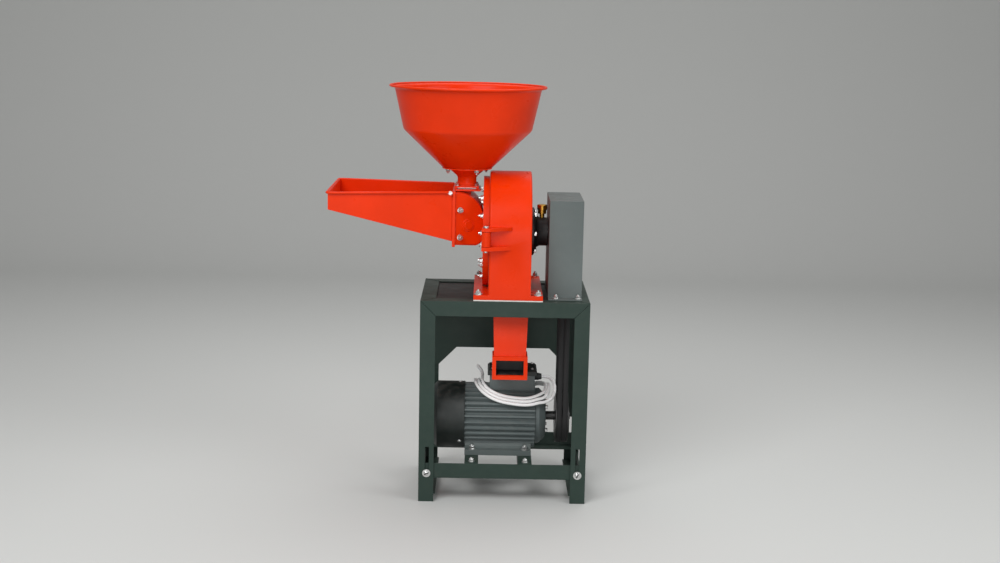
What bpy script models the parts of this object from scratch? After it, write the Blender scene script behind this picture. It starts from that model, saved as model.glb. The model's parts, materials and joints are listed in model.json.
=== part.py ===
"""A belt-driven hammer mill on an angle-iron stand.

X runs to the right of the operator's view, Y runs away from the operator and Z runs up.
The sizes below count from the floor under the middle of the stand, and the finished mill is moved
so that its origin is on the floor under the middle of the whole machine. All sizes are in metres.
"""
import math

import bmesh
import bpy
from mathutils import Matrix, Vector

# Fits
CLEARANCE = 0.0003
SWING_CLEARANCE = 0.001

# How far a cutter passes the face that it cuts, and how the meshes are closed and shaded
CUT_OVER = 0.010
MERGE_DISTANCE = 0.000001
SHARP_ANGLE = 35.0

# Stand
STAND_WIDTH = 0.440
STAND_DEPTH = 0.330
STAND_HEIGHT = 0.540
ANGLE_FLANGE = 0.040
ANGLE_WALL = 0.004
SIDE_RAIL_HEIGHT = 0.020
DECK_THICKNESS = 0.004
PANEL_THICKNESS = 0.003
PANEL_LOW = 0.295
PANEL_MIDDLE = 0.347
PANEL_CORNER = 0.034
PANEL_CUT_WIDTH = 0.260
SLOT_WIDTH = 0.010
SLOT_LENGTH = 0.070
SLOT_INSET = 0.022

# Mill housing
AXIS_SPARE = 0.0025
HOUSING_LEFT = -0.045
HOUSING_WIDTH = 0.110
HOUSING_RADIUS = 0.160
HOUSING_WALL = 0.010
BACK_WALL = 0.012
GASKET_THICKNESS = 0.003
BASE_THICKNESS = 0.012
BASE_LEFT_FOOT = 0.038
BASE_RIGHT_FOOT = 0.032
BASE_INSET = 0.005
DISCHARGE_FRONT = -0.105
DISCHARGE_REAR = 0.045
DISCHARGE_WIDTH = 0.086
SCREEN_THICKNESS = 0.003
SCREEN_WIDTH = 0.090

# Bearings and grease cup
SHAFT_RADIUS = 0.0125
BEARING_RADIUS = 0.026
BEARING_WIDTH = 0.015
BEARING_SPACING = 0.024
BEARING_BODY_RADIUS = 0.038
BEARING_FLANGE_RADIUS = 0.064
BEARING_FLANGE = 0.008
BEARING_BODY_LENGTH = 0.045
BEARING_SHOULDER = 0.024
BEARING_FILLET = 0.004
CUP_INSET = 0.0155
CUP_RADIUS = 0.0115
CUP_STEM_RADIUS = 0.0065
CUP_HEIGHT = 0.020
CUP_CAP_RADIUS = 0.0135
CUP_CAP_HEIGHT = 0.014
CUP_CAP_CHAMFER = 0.002

# Rotor
ROTOR_INSET = 0.062
ROTOR_PLATE = 0.006
ROTOR_GAP = 0.034
ROTOR_LEFT = -0.012
SLEEVE_RADIUS = 0.022
PIN_INSET = 0.013
PIN_RADIUS = 0.005
HAMMER_COUNT = 4
HAMMER_REACH = 0.055
HAMMER_TAIL = 0.012
HAMMER_WIDTH = 0.026
HAMMER_THICKNESS = 0.012

# Belt drive
BELT_MIDDLE = 0.160
BELT_PITCH = 0.015
BELT_TOP_WIDTH = 0.0130
BELT_FOOT_WIDTH = 0.0092
BELT_HEIGHT = 0.008
GROOVE_SPARE = 0.0008
GROOVE_DEPTH_SPARE = 0.0015
PULLEY_WIDTH = 0.034
MILL_PULLEY_RADIUS = 0.045
MOTOR_PULLEY_RADIUS = 0.072
GUARD_LEFT = 0.1115
GUARD_WIDTH = 0.089
GUARD_DEPTH = 0.200
GUARD_RISE = 0.0945
GUARD_WALL = 0.002
GUARD_FOOT = 0.035
GUARD_FOOT_THICKNESS = 0.003
GUARD_SHAFT_HOLE = 0.0185
BELT_SLOT_WIDTH = 0.040
BELT_SLOT_DEPTH = 0.132

# Door, feed head, tray and hopper
DOOR_INSET = 0.0145
DOOR_THICKNESS = 0.016
DOOR_RIM = 0.014
DOOR_DISH = 0.005
DOOR_STEP = 0.001
HINGE_OUT = 0.018
KNUCKLE_RADIUS = 0.0115
HINGE_PIN_RADIUS = 0.005
HINGE_PIN_HEAD = 0.008
HINGE_PIN_HEAD_HEIGHT = 0.005
LOWER_LUG_RISE = -0.0275
LOWER_LUG_HEIGHT = 0.010
UPPER_LUG_RISE = 0.0225
UPPER_LUG_HEIGHT = 0.009
LUG_RIGHT = 0.014
INLET_WIDTH = 0.090
INLET_RISE = -0.0185
INLET_HEIGHT = 0.066
FEED_HEAD_LEFT = -0.142
FEED_HEAD_FLANGE = 0.008
FEED_HEAD_WIDTH = 0.208
FEED_HEAD_NARROW = 0.124
FEED_HEAD_RISE = -0.0305
FEED_HEAD_HEIGHT = 0.1445
FEED_HEAD_WALL = 0.006
FEED_HEAD_STEP = 0.002
NECK_FLANGE = 0.064
NECK_FLANGE_THICKNESS = 0.004
GATE_THICKNESS = 0.0025
GATE_WIDTH = 0.050
GATE_OVERLAP = 0.026
GATE_HANDLE = 0.042
NECK_RADIUS = 0.0205
NECK_HEIGHT = 0.0315
FUNNEL_HEIGHT = 0.020
FUNNEL_RADIUS = 0.0425
SHEET = 0.002
HOPPER_MIDDLE = -0.1064
HOPPER_FLANGE_RADIUS = 0.066
HOPPER_OUTLET_RADIUS = 0.036
HOPPER_FLANGE_THICKNESS = 0.003
HOPPER_CONE_HEIGHT = 0.1015
HOPPER_CONE_RADIUS = 0.1695
HOPPER_WALL_HEIGHT = 0.1075
HOPPER_WALL_RADIUS = 0.1930
HOPPER_RIM_HEIGHT = 0.0095
HOPPER_RIM_RADIUS = 0.208
HOPPER_LIP = 0.007
TRAY_LEFT = -0.459
TRAY_WIDTH_LEFT = 0.320
TRAY_WIDTH_RIGHT = 0.202
TRAY_DEPTH_LEFT = 0.045
TRAY_DEPTH_RIGHT = 0.130

# Latch
LATCH_PIVOT_X = 0.0
LATCH_OUT = 0.018
LATCH_PIVOT_RADIUS = 0.005
LATCH_EYE_RADIUS = 0.010
LATCH_EYE_WIDTH = 0.012
LATCH_BOLT_RADIUS = 0.004
LATCH_BOLT_LENGTH = 0.090
LATCH_NUT_RADIUS = 0.013
LATCH_NUT_LENGTH = 0.016
LATCH_NUT_VALLEY = 0.00975
LATCH_NUT_LOBES = 5
LATCH_SPARE = 0.003
LATCH_SLOT_SPARE = 0.002
EAR_HEIGHT = 0.026
EAR_REACH = 0.024

# Discharge spout
SPOUT_TOP_WIDTH = 0.093
SPOUT_TOP_FRONT = -0.112
SPOUT_TOP_REAR = 0.052
SPOUT_NECK_WIDTH = 0.084
SPOUT_NECK_FRONT = -0.128
SPOUT_NECK_REAR = -0.066
SPOUT_NECK_HEIGHT = 0.389
SPOUT_MOUTH_WIDTH = 0.0925
SPOUT_MOUTH_FRONT = -0.140
SPOUT_MOUTH_BOTTOM = 0.328
SPOUT_MIDDLE = 0.0155
MOUTH_WALL = 0.010

# Motor and its deck
LOWER_RAIL_BOTTOM = 0.064
LOWER_RAIL_SPARE = 0.001
MOTOR_BAR_WIDTH = 0.036
MOTOR_BAR_HEIGHT = 0.0374
MOTOR_BAR_SPACING = 0.142
MOTOR_BAR_MIDDLE = -0.0105
MOTOR_SHAFT_HEIGHT = 0.090
MOTOR_LEFT = -0.110
MOTOR_LENGTH = 0.197
MOTOR_CORE_RADIUS = 0.0775
MOTOR_FIN_RADIUS = 0.0875
MOTOR_FIN_COUNT = 32
FIN_FOOT_SHARE = 1.6
FIN_TIP_SHARE = 0.5
MOTOR_BORE = 0.048
MOTOR_END_WALL = 0.012
MOTOR_FOOT_LENGTH = 0.178
MOTOR_FOOT_WIDTH = 0.175
MOTOR_FOOT_THICKNESS = 0.014
MOTOR_PEDESTAL_WIDTH = 0.110
MOTOR_PEDESTAL_STEP = 0.004
SHIELD_LENGTH = 0.029
SHIELD_RIM = 0.0116
SHIELD_RADIUS = 0.075
SHIELD_NOSE_RADIUS = 0.056
MOTOR_SHAFT_RADIUS = 0.012
MOTOR_CORE_LENGTH = 0.120
FAN_COVER_LENGTH = 0.084
FAN_COVER_LAP = 0.008
FAN_COVER_WALL = 0.0025
FAN_RADIUS = 0.070
FAN_LENGTH = 0.030
FAN_HUB_RADIUS = 0.024
FAN_BLADES = 8
BLADE_FOOT_TURN = 0.30
BLADE_TIP_TURN = 0.05
BOX_LEFT = -0.036
BOX_LENGTH = 0.121
BOX_WIDTH = 0.080
BOX_TOP = 0.3157
BOX_FOOT = 0.03875
LID_OVERHANG = 0.006
LID_HEIGHT = 0.017
LID_CHAMFER = 0.006
GLAND_RADIUS = 0.010
GLAND_LENGTH = 0.020
GLAND_NOSE_RADIUS = 0.0075
GLAND_Y = 0.020
GLAND_Z = 0.300

# Cord, piled round the terminal box
CORD_RADIUS = 0.00425
CORD_GAP = 0.0008
COIL_MIDDLE = 0.027
COIL_LENGTH = 0.212
COIL_WIDTH = 0.192
COIL_PITCH = 0.0093
COIL_SQUARENESS = 0.78
COIL_SLANT = 0.12
COIL_START = -40.0
COIL_TURN = 866.0
COIL_POINTS_PER_LOOP = 24
COIL_REST = 0.0030
COIL_DROOP = 0.010
COIL_LIFT = 0.008
COIL_LIFT_TURN = 50.0
LEAD_ROUTE = (
    (0.1120, 0.0200, 0.3000),
    (0.1245, 0.0168, 0.2983),
    (0.1350, 0.0062, 0.2925),
    (0.1396, -0.0099, 0.2839),
    (0.1396, -0.0275, 0.2744),
    (0.1372, -0.0434, 0.2659),
    (0.1300, -0.0575, 0.2580),
)
TAIL_ROUTE = (
    (-0.0565, 0.0400, 0.3015),
    (-0.0590, 0.0490, 0.3065),
    (-0.0640, 0.0560, 0.3120),
    (-0.0690, 0.0610, 0.3170),
)

# Facets round a full circle
SMALL_ROUND = 16
LARGE_ROUND = 48

HALF_WIDTH = STAND_WIDTH / 2
HALF_DEPTH = STAND_DEPTH / 2
HOUSING_RIGHT = HOUSING_LEFT + HOUSING_WIDTH
AXIS_HEIGHT = STAND_HEIGHT + HOUSING_RADIUS + AXIS_SPARE
DECK_TOP = STAND_HEIGHT - ANGLE_WALL - CLEARANCE
GASKET_BOTTOM = STAND_HEIGHT + CLEARANCE
BASE_BOTTOM = GASKET_BOTTOM + GASKET_THICKNESS + CLEARANCE
BASE_DEPTH = HALF_DEPTH - BASE_INSET
BASE_LEFT = HOUSING_LEFT - BASE_LEFT_FOOT
BASE_RIGHT = HOUSING_RIGHT + BASE_RIGHT_FOOT
DISCHARGE_LEFT = SPOUT_MIDDLE - DISCHARGE_WIDTH / 2
DISCHARGE_RIGHT = SPOUT_MIDDLE + DISCHARGE_WIDTH / 2
BEARING_BODY_LEFT = HOUSING_RIGHT + CLEARANCE
BEARING_BODY_RIGHT = BEARING_BODY_LEFT + BEARING_BODY_LENGTH
ROTOR_RADIUS = HOUSING_RADIUS - ROTOR_INSET
PIN_CIRCLE = ROTOR_RADIUS - PIN_INSET
GUARD_TOP = AXIS_HEIGHT + GUARD_RISE
DOOR_RADIUS = HOUSING_RADIUS - DOOR_INSET
DOOR_RIGHT = HOUSING_LEFT - CLEARANCE
DOOR_LEFT = DOOR_RIGHT - DOOR_THICKNESS
HINGE_X = (DOOR_LEFT + DOOR_RIGHT) / 2
HINGE_Y = -HOUSING_RADIUS - HINGE_OUT
LOWER_LUG_BOTTOM = AXIS_HEIGHT + LOWER_LUG_RISE
LOWER_LUG_TOP = LOWER_LUG_BOTTOM + LOWER_LUG_HEIGHT
UPPER_LUG_BOTTOM = AXIS_HEIGHT + UPPER_LUG_RISE
UPPER_LUG_TOP = UPPER_LUG_BOTTOM + UPPER_LUG_HEIGHT
INLET_BOTTOM = AXIS_HEIGHT + INLET_RISE
INLET_TOP = INLET_BOTTOM + INLET_HEIGHT
FEED_HEAD_RIGHT = DOOR_LEFT - CLEARANCE
FEED_HEAD_BOTTOM = AXIS_HEIGHT + FEED_HEAD_RISE
FEED_HEAD_TOP = FEED_HEAD_BOTTOM + FEED_HEAD_HEIGHT
TRAY_RIM = FEED_HEAD_TOP
GATE_BOTTOM = FEED_HEAD_TOP + CLEARANCE
NECK_FLANGE_BOTTOM = GATE_BOTTOM + GATE_THICKNESS + CLEARANCE
NECK_TOP = FEED_HEAD_TOP + NECK_HEIGHT
FUNNEL_TOP = NECK_TOP + FUNNEL_HEIGHT
HOPPER_CONE_TOP = FUNNEL_TOP + HOPPER_CONE_HEIGHT
HOPPER_WALL_TOP = HOPPER_CONE_TOP + HOPPER_WALL_HEIGHT
HOPPER_RIM_TOP = HOPPER_WALL_TOP + HOPPER_RIM_HEIGHT
HOPPER_BOTTOM = FUNNEL_TOP + HOPPER_FLANGE_THICKNESS + CLEARANCE
LATCH_Y = HOUSING_RADIUS + LATCH_OUT
MOTOR_BAR_BOTTOM = LOWER_RAIL_BOTTOM + ANGLE_WALL + CLEARANCE
MOTOR_FOOT_BOTTOM = MOTOR_BAR_BOTTOM + MOTOR_BAR_HEIGHT + CLEARANCE
MOTOR_HEIGHT = MOTOR_FOOT_BOTTOM + MOTOR_SHAFT_HEIGHT
MOTOR_RIGHT = MOTOR_LEFT + MOTOR_LENGTH
SHIELD_LEFT = MOTOR_RIGHT + CLEARANCE
SHIELD_RIGHT = SHIELD_LEFT + SHIELD_LENGTH
BOX_RIGHT = BOX_LEFT + BOX_LENGTH
GLAND_LEFT = BOX_RIGHT + CLEARANCE
GLAND_RIGHT = GLAND_LEFT + GLAND_LENGTH
PULLEY_LEFT = BELT_MIDDLE - PULLEY_WIDTH / 2
PULLEY_RIGHT = BELT_MIDDLE + PULLEY_WIDTH / 2
MILL_MIDDLE_X = (TRAY_LEFT + HALF_WIDTH) / 2


def clear_scene():
    """Remove everything that the start-up file holds."""
    for item in list(bpy.data.objects):
        bpy.data.objects.remove(item)


def paint(name, red, green, blue, roughness, metallic):
    """Make a Principled material from a screen colour of 0 to 255."""
    def linear(value):
        share = value / 255
        return share / 12.92 if share <= 0.04045 else ((share + 0.055) / 1.055) ** 2.4

    material = bpy.data.materials.new(name)
    material.use_nodes = True
    shader = material.node_tree.nodes["Principled BSDF"]
    shader.inputs["Base Color"].default_value = (linear(red), linear(green), linear(blue), 1)
    shader.inputs["Roughness"].default_value = roughness
    shader.inputs["Metallic"].default_value = metallic
    return material


def make_body(name, place, parent=None):
    """Make the empty that the pieces of one moving body hang on."""
    empty = bpy.data.objects.new(name, None)
    empty.location = place
    empty.parent = parent
    bpy.context.collection.objects.link(empty)
    return empty


def finish(name, shape, material, body):
    """Turn a shape drawn in the mill's frame into an object on its body."""
    bmesh.ops.remove_doubles(shape, verts=shape.verts, dist=MERGE_DISTANCE)
    bmesh.ops.recalc_face_normals(shape, faces=shape.faces)
    bmesh.ops.translate(shape, vec=-body.location, verts=shape.verts)
    mesh = bpy.data.meshes.new(name)
    shape.to_mesh(mesh)
    shape.free()
    mesh.shade_smooth()
    mesh.set_sharp_from_angle(angle=math.radians(SHARP_ANGLE))
    mesh.materials.append(material)
    part = bpy.data.objects.new(name, mesh)
    bpy.context.collection.objects.link(part)
    part.parent = body
    return part


def combine(part, shape, operation, body):
    """Cut a shape from a part, or join it to the part."""
    tool = finish(part.name + "_tool", shape, part.data.materials[0], body)
    tool.hide_render = True
    tool.display_type = "WIRE"
    modifier = part.modifiers.new(operation.title(), "BOOLEAN")
    modifier.operation = operation
    modifier.solver = "EXACT"
    modifier.object = tool


def block(low, high):
    """Draw a box between two corners."""
    shape = bmesh.new()
    size = [high[i] - low[i] for i in range(3)]
    middle = [(high[i] + low[i]) / 2 for i in range(3)]
    bmesh.ops.create_cube(shape, size=1, matrix=Matrix.Translation(middle) @ Matrix.Diagonal((*size, 1)))
    return shape


def tapered_block(bottom, top, low, high):
    """Draw a box whose bottom and top rectangles differ; each is (left, right, front, rear)."""
    shape = bmesh.new()
    bmesh.ops.create_cube(shape, size=2)
    for corner in shape.verts:
        left, right, front, rear = top if corner.co.z > 0 else bottom
        corner.co.x = right if corner.co.x > 0 else left
        corner.co.y = rear if corner.co.y > 0 else front
        corner.co.z = high if corner.co.z > 0 else low
    return shape


def prism(outline, axis, low, high):
    """Extrude a flat outline along X, Y or Z; the outline names the other two axes in order."""
    shape = bmesh.new()
    corners = []
    for first, second in outline:
        place = {"x": (low, first, second), "y": (first, low, second), "z": (first, second, low)}[axis]
        corners.append(shape.verts.new(place))
    face = shape.faces.new(corners)
    reach = {"x": (high - low, 0, 0), "y": (0, high - low, 0), "z": (0, 0, high - low)}[axis]
    grown = bmesh.ops.extrude_face_region(shape, geom=[face])["geom"]
    moved = [item for item in grown if isinstance(item, bmesh.types.BMVert)]
    bmesh.ops.translate(shape, vec=reach, verts=moved)
    return shape


def turned(profile, axis, centre, facets):
    """Spin a profile of (radius, place along the axis) round X, Y or Z through a centre."""
    shape = bmesh.new()
    points = [shape.verts.new((radius, 0, along)) for radius, along in profile]
    count = len(points)
    closed = profile[0][0] > 0 or profile[-1][0] > 0
    edges = [shape.edges.new((points[i], points[(i + 1) % count])) for i in range(count if closed else count - 1)]
    bmesh.ops.spin(shape, geom=points + edges, cent=(0, 0, 0), axis=(0, 0, 1), angle=math.tau,
                   steps=facets, use_merge=True)
    bmesh.ops.remove_doubles(shape, verts=shape.verts, dist=MERGE_DISTANCE)
    half_facet = Matrix.Rotation(math.pi / facets, 4, "Z")
    turn = {"x": Matrix.Rotation(math.pi / 2, 4, "Y"), "y": Matrix.Rotation(-math.pi / 2, 4, "X"),
            "z": Matrix.Identity(4)}[axis]
    bmesh.ops.transform(shape, matrix=Matrix.Translation(centre) @ turn @ half_facet, verts=shape.verts)
    return shape


def rod(radius, axis, centre, low, high, facets=SMALL_ROUND):
    """Draw a plain round bar."""
    return turned([(0, low), (radius, low), (radius, high), (0, high)], axis, centre, facets)


def ring(inner, outer, axis, centre, low, high, facets=LARGE_ROUND):
    """Draw a plain ring."""
    return turned([(inner, low), (outer, low), (outer, high), (inner, high)], axis, centre, facets)


def slice_off(shape, point, normal):
    """Remove what lies on the side of a plane that its normal points to, and close the cut."""
    cut = bmesh.ops.bisect_plane(shape, geom=shape.verts[:] + shape.edges[:] + shape.faces[:], dist=MERGE_DISTANCE,
                                 plane_co=point, plane_no=normal, clear_outer=True)["geom_cut"]
    edges = [item for item in cut if isinstance(item, bmesh.types.BMEdge)]
    bmesh.ops.edgeloop_fill(shape, edges=edges)


def angle_outline(first, second, first_sign, second_sign):
    """Outline an L section from its outer corner."""
    flange = ANGLE_FLANGE
    wall = ANGLE_WALL
    steps = ((0, 0), (flange, 0), (flange, wall), (wall, wall), (wall, flange), (0, flange))
    return [(first - first_sign * a, second - second_sign * b) for a, b in steps]


def arch_outline(radius, bottom):
    """Outline a half-round arch on straight legs, as (Y, Z)."""
    half = LARGE_ROUND // 2
    points = [(radius, bottom)]
    for step in range(half + 1):
        turn = math.pi * step / half
        points.append((radius * math.cos(turn), AXIS_HEIGHT + radius * math.sin(turn)))
    points.append((-radius, bottom))
    return points


def make_stand(body, green, dark):
    """Legs with mitred tops, mitred top rails, low side rails, deck and rear panel."""
    gap = CLEARANCE / 2
    slot_bottom = LOWER_RAIL_BOTTOM + ANGLE_FLANGE / 2 - SLOT_WIDTH / 2
    for depth_name, y_side in (("front", -1), ("rear", 1)):
        for side_name, x_side in (("left", -1), ("right", 1)):
            corner_x = x_side * HALF_WIDTH
            corner_y = y_side * HALF_DEPTH
            leg = prism(angle_outline(corner_x, corner_y, x_side, y_side), "z", 0, STAND_HEIGHT)
            top = (corner_x, corner_y, STAND_HEIGHT - gap * math.sqrt(2))
            slice_off(leg, top, (-x_side, 0, 1))
            slice_off(leg, top, (0, -y_side, 1))
            part = finish(f"leg_{depth_name}_{side_name}", leg, green, body)
            slot_x = x_side * (HALF_WIDTH - SLOT_INSET)
            faces_y = sorted((corner_y + y_side * CUT_OVER, corner_y - y_side * CUT_OVER))
            slot = block((slot_x - SLOT_WIDTH / 2, faces_y[0], slot_bottom),
                         (slot_x + SLOT_WIDTH / 2, faces_y[1], slot_bottom + SLOT_LENGTH))
            combine(part, slot, "DIFFERENCE", body)
        rail = prism(angle_outline(y_side * HALF_DEPTH, STAND_HEIGHT, y_side, 1), "x", -HALF_WIDTH, HALF_WIDTH)
        for x_side in (-1, 1):
            top = (x_side * (HALF_WIDTH - gap * math.sqrt(2)), y_side * HALF_DEPTH, STAND_HEIGHT)
            slice_off(rail, top, (x_side, 0, -1))
            slice_off(rail, top, (x_side, -y_side, 0))
        finish(f"top_rail_{depth_name}", rail, green, body)
    for side_name, x_side in (("left", -1), ("right", 1)):
        rail = prism(angle_outline(x_side * HALF_WIDTH, STAND_HEIGHT, x_side, 1), "y", -HALF_DEPTH, HALF_DEPTH)
        for y_side in (-1, 1):
            top = (x_side * HALF_WIDTH, y_side * (HALF_DEPTH - gap * math.sqrt(2)), STAND_HEIGHT)
            slice_off(rail, top, (0, y_side, -1))
            slice_off(rail, top, (-x_side, y_side, 0))
        finish(f"top_rail_{side_name}", rail, green, body)
        inner = HALF_WIDTH - ANGLE_WALL - CLEARANCE
        low = prism(angle_outline(x_side * inner, SIDE_RAIL_HEIGHT, x_side, -1), "y",
                    -HALF_DEPTH + ANGLE_WALL + CLEARANCE, HALF_DEPTH - ANGLE_WALL - CLEARANCE)
        finish(f"side_rail_{side_name}", low, green, body)
    inner_x = HALF_WIDTH - ANGLE_WALL - CLEARANCE
    inner_y = HALF_DEPTH - ANGLE_WALL - CLEARANCE
    deck_bottom = DECK_TOP - DECK_THICKNESS
    deck = finish("deck_plate", block((-inner_x, -inner_y, deck_bottom), (inner_x, inner_y, DECK_TOP)), dark, body)
    combine(deck, block((DISCHARGE_LEFT, DISCHARGE_FRONT, deck_bottom - CUT_OVER),
                        (DISCHARGE_RIGHT, DISCHARGE_REAR, DECK_TOP + CUT_OVER)), "DIFFERENCE", body)
    combine(deck, block((BELT_MIDDLE - BELT_SLOT_WIDTH / 2, -BELT_SLOT_DEPTH / 2, deck_bottom - CUT_OVER),
                        (BELT_MIDDLE + BELT_SLOT_WIDTH / 2, BELT_SLOT_DEPTH / 2, DECK_TOP + CUT_OVER)),
            "DIFFERENCE", body)
    panel_top = deck_bottom - CLEARANCE
    half_cut = PANEL_CUT_WIDTH / 2
    outline = [(-inner_x, panel_top), (-inner_x, PANEL_LOW), (-inner_x + PANEL_CORNER, PANEL_LOW),
               (-half_cut, PANEL_MIDDLE), (half_cut, PANEL_MIDDLE), (inner_x - PANEL_CORNER, PANEL_LOW),
               (inner_x, PANEL_LOW), (inner_x, panel_top)]
    finish("rear_panel", prism(outline, "y", inner_y - PANEL_THICKNESS, inner_y), green, body)


def make_housing(body, red, white, steel):
    """The arched housing with its base, hinge lugs and the gasket and screen that go with it."""
    axis = (0, 0, AXIS_HEIGHT)
    depth = HOUSING_RADIUS
    base_top = BASE_BOTTOM + BASE_THICKNESS
    gasket = block((BASE_LEFT, -BASE_DEPTH, GASKET_BOTTOM),
                   (BASE_RIGHT, BASE_DEPTH, GASKET_BOTTOM + GASKET_THICKNESS))
    gasket = finish("base_gasket", gasket, white, body)
    hole = ((DISCHARGE_LEFT, DISCHARGE_FRONT, DECK_TOP - CUT_OVER),
            (DISCHARGE_RIGHT, DISCHARGE_REAR, base_top + CUT_OVER / 2))
    combine(gasket, block(*hole), "DIFFERENCE", body)
    arch = prism(arch_outline(depth, BASE_BOTTOM), "x", HOUSING_LEFT, HOUSING_RIGHT)
    housing = finish("mill_housing", arch, red, body)
    combine(housing, block((BASE_LEFT, -BASE_DEPTH, BASE_BOTTOM), (BASE_RIGHT, BASE_DEPTH, base_top)), "UNION",
            body)
    for bottom, height in ((LOWER_LUG_BOTTOM, LOWER_LUG_HEIGHT), (UPPER_LUG_BOTTOM, UPPER_LUG_HEIGHT)):
        left = HINGE_X - KNUCKLE_RADIUS
        front = HINGE_Y - KNUCKLE_RADIUS
        root = -depth + HOUSING_WALL / 2
        plan = [(left, front), (HINGE_X + KNUCKLE_RADIUS, front), (LUG_RIGHT, -depth), (LUG_RIGHT, root), (left, root)]
        lug = prism(plan, "z", bottom, bottom + height)
        combine(housing, lug, "UNION", body)
    chamber = arch_outline(depth - HOUSING_WALL, base_top)
    combine(housing, prism(chamber, "x", HOUSING_LEFT - CUT_OVER, HOUSING_RIGHT - BACK_WALL), "DIFFERENCE", body)
    combine(housing, block(*hole), "DIFFERENCE", body)
    bore = BEARING_RADIUS + CLEARANCE
    combine(housing, rod(bore, "x", axis, HOUSING_LEFT, HOUSING_RIGHT + CUT_OVER, LARGE_ROUND), "DIFFERENCE", body)
    pin_hole = HINGE_PIN_RADIUS + CLEARANCE
    combine(housing, rod(pin_hole, "z", (HINGE_X, HINGE_Y, 0), LOWER_LUG_BOTTOM - CUT_OVER,
                         UPPER_LUG_TOP + CUT_OVER), "DIFFERENCE", body)
    screen_outer = depth - HOUSING_WALL - 2 * CLEARANCE
    screen_left = HOUSING_RIGHT - BACK_WALL - CLEARANCE - SCREEN_WIDTH
    screen = ring(screen_outer - SCREEN_THICKNESS, screen_outer, "x", axis, screen_left, screen_left + SCREEN_WIDTH)
    screen = finish("screen_ring", screen, steel, body)
    below = base_top + CLEARANCE
    combine(screen, block((HOUSING_LEFT - SCREEN_WIDTH, -depth, below - depth), (HOUSING_RIGHT, depth, below)),
            "DIFFERENCE", body)


def make_bearings(body, cap_body, black, steel, brass):
    """The bearing housing with two bearings and the grease cup with its screw cap."""
    axis = (0, 0, AXIS_HEIGHT)
    left = BEARING_BODY_LEFT
    bore = BEARING_RADIUS + CLEARANCE
    profile = [(bore, left), (BEARING_FLANGE_RADIUS, left), (BEARING_FLANGE_RADIUS, left + BEARING_FLANGE),
               (BEARING_BODY_RADIUS + BEARING_FILLET, left + BEARING_FLANGE * 2),
               (BEARING_BODY_RADIUS, left + BEARING_SHOULDER),
               (BEARING_BODY_RADIUS, BEARING_BODY_RIGHT), (bore, BEARING_BODY_RIGHT)]
    finish("bearing_housing", turned(profile, "x", axis, LARGE_ROUND), black, body)
    for number in (1, 2):
        start = left + SWING_CLEARANCE + (number - 1) * BEARING_SPACING
        race = ring(SHAFT_RADIUS + CLEARANCE, BEARING_RADIUS, "x", axis, start, start + BEARING_WIDTH)
        finish(f"shaft_bearing_{number}", race, steel, body)
    cup_x = cap_body.location.x
    seat = AXIS_HEIGHT + BEARING_BODY_RADIUS + CLEARANCE
    shoulder = seat + CUP_HEIGHT / 2
    cup_top = seat + CUP_HEIGHT
    cup = [(0, seat), (CUP_STEM_RADIUS, seat), (CUP_STEM_RADIUS, shoulder), (CUP_RADIUS, shoulder),
           (CUP_RADIUS, cup_top), (0, cup_top)]
    finish("grease_cup", turned(cup, "z", (cup_x, 0, 0), SMALL_ROUND), brass, body)
    cap_bottom = cup_top + CLEARANCE
    cap_top = cap_bottom + CUP_CAP_HEIGHT
    cap = [(0, cap_bottom), (CUP_CAP_RADIUS, cap_bottom), (CUP_CAP_RADIUS, cap_top - CUP_CAP_CHAMFER),
           (CUP_CAP_RADIUS - CUP_CAP_CHAMFER, cap_top), (0, cap_top)]
    finish("grease_cap", turned(cap, "z", (cup_x, 0, 0), SMALL_ROUND), brass, cap_body)


def pulley(radius, bore):
    """Profile a pulley with two V grooves, along X from its left face."""
    groove_top = BELT_TOP_WIDTH / 2 + GROOVE_SPARE / 2
    groove_foot = BELT_FOOT_WIDTH / 2 + GROOVE_SPARE / 2
    floor = radius - BELT_HEIGHT - GROOVE_DEPTH_SPARE
    profile = [(bore, PULLEY_LEFT), (radius, PULLEY_LEFT)]
    for side in (-1, 1):
        middle = BELT_MIDDLE + side * BELT_PITCH / 2
        profile += [(radius, middle - groove_top), (floor, middle - groove_foot),
                    (floor, middle + groove_foot), (radius, middle + groove_top)]
    return profile + [(radius, PULLEY_RIGHT), (bore, PULLEY_RIGHT)]


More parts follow.
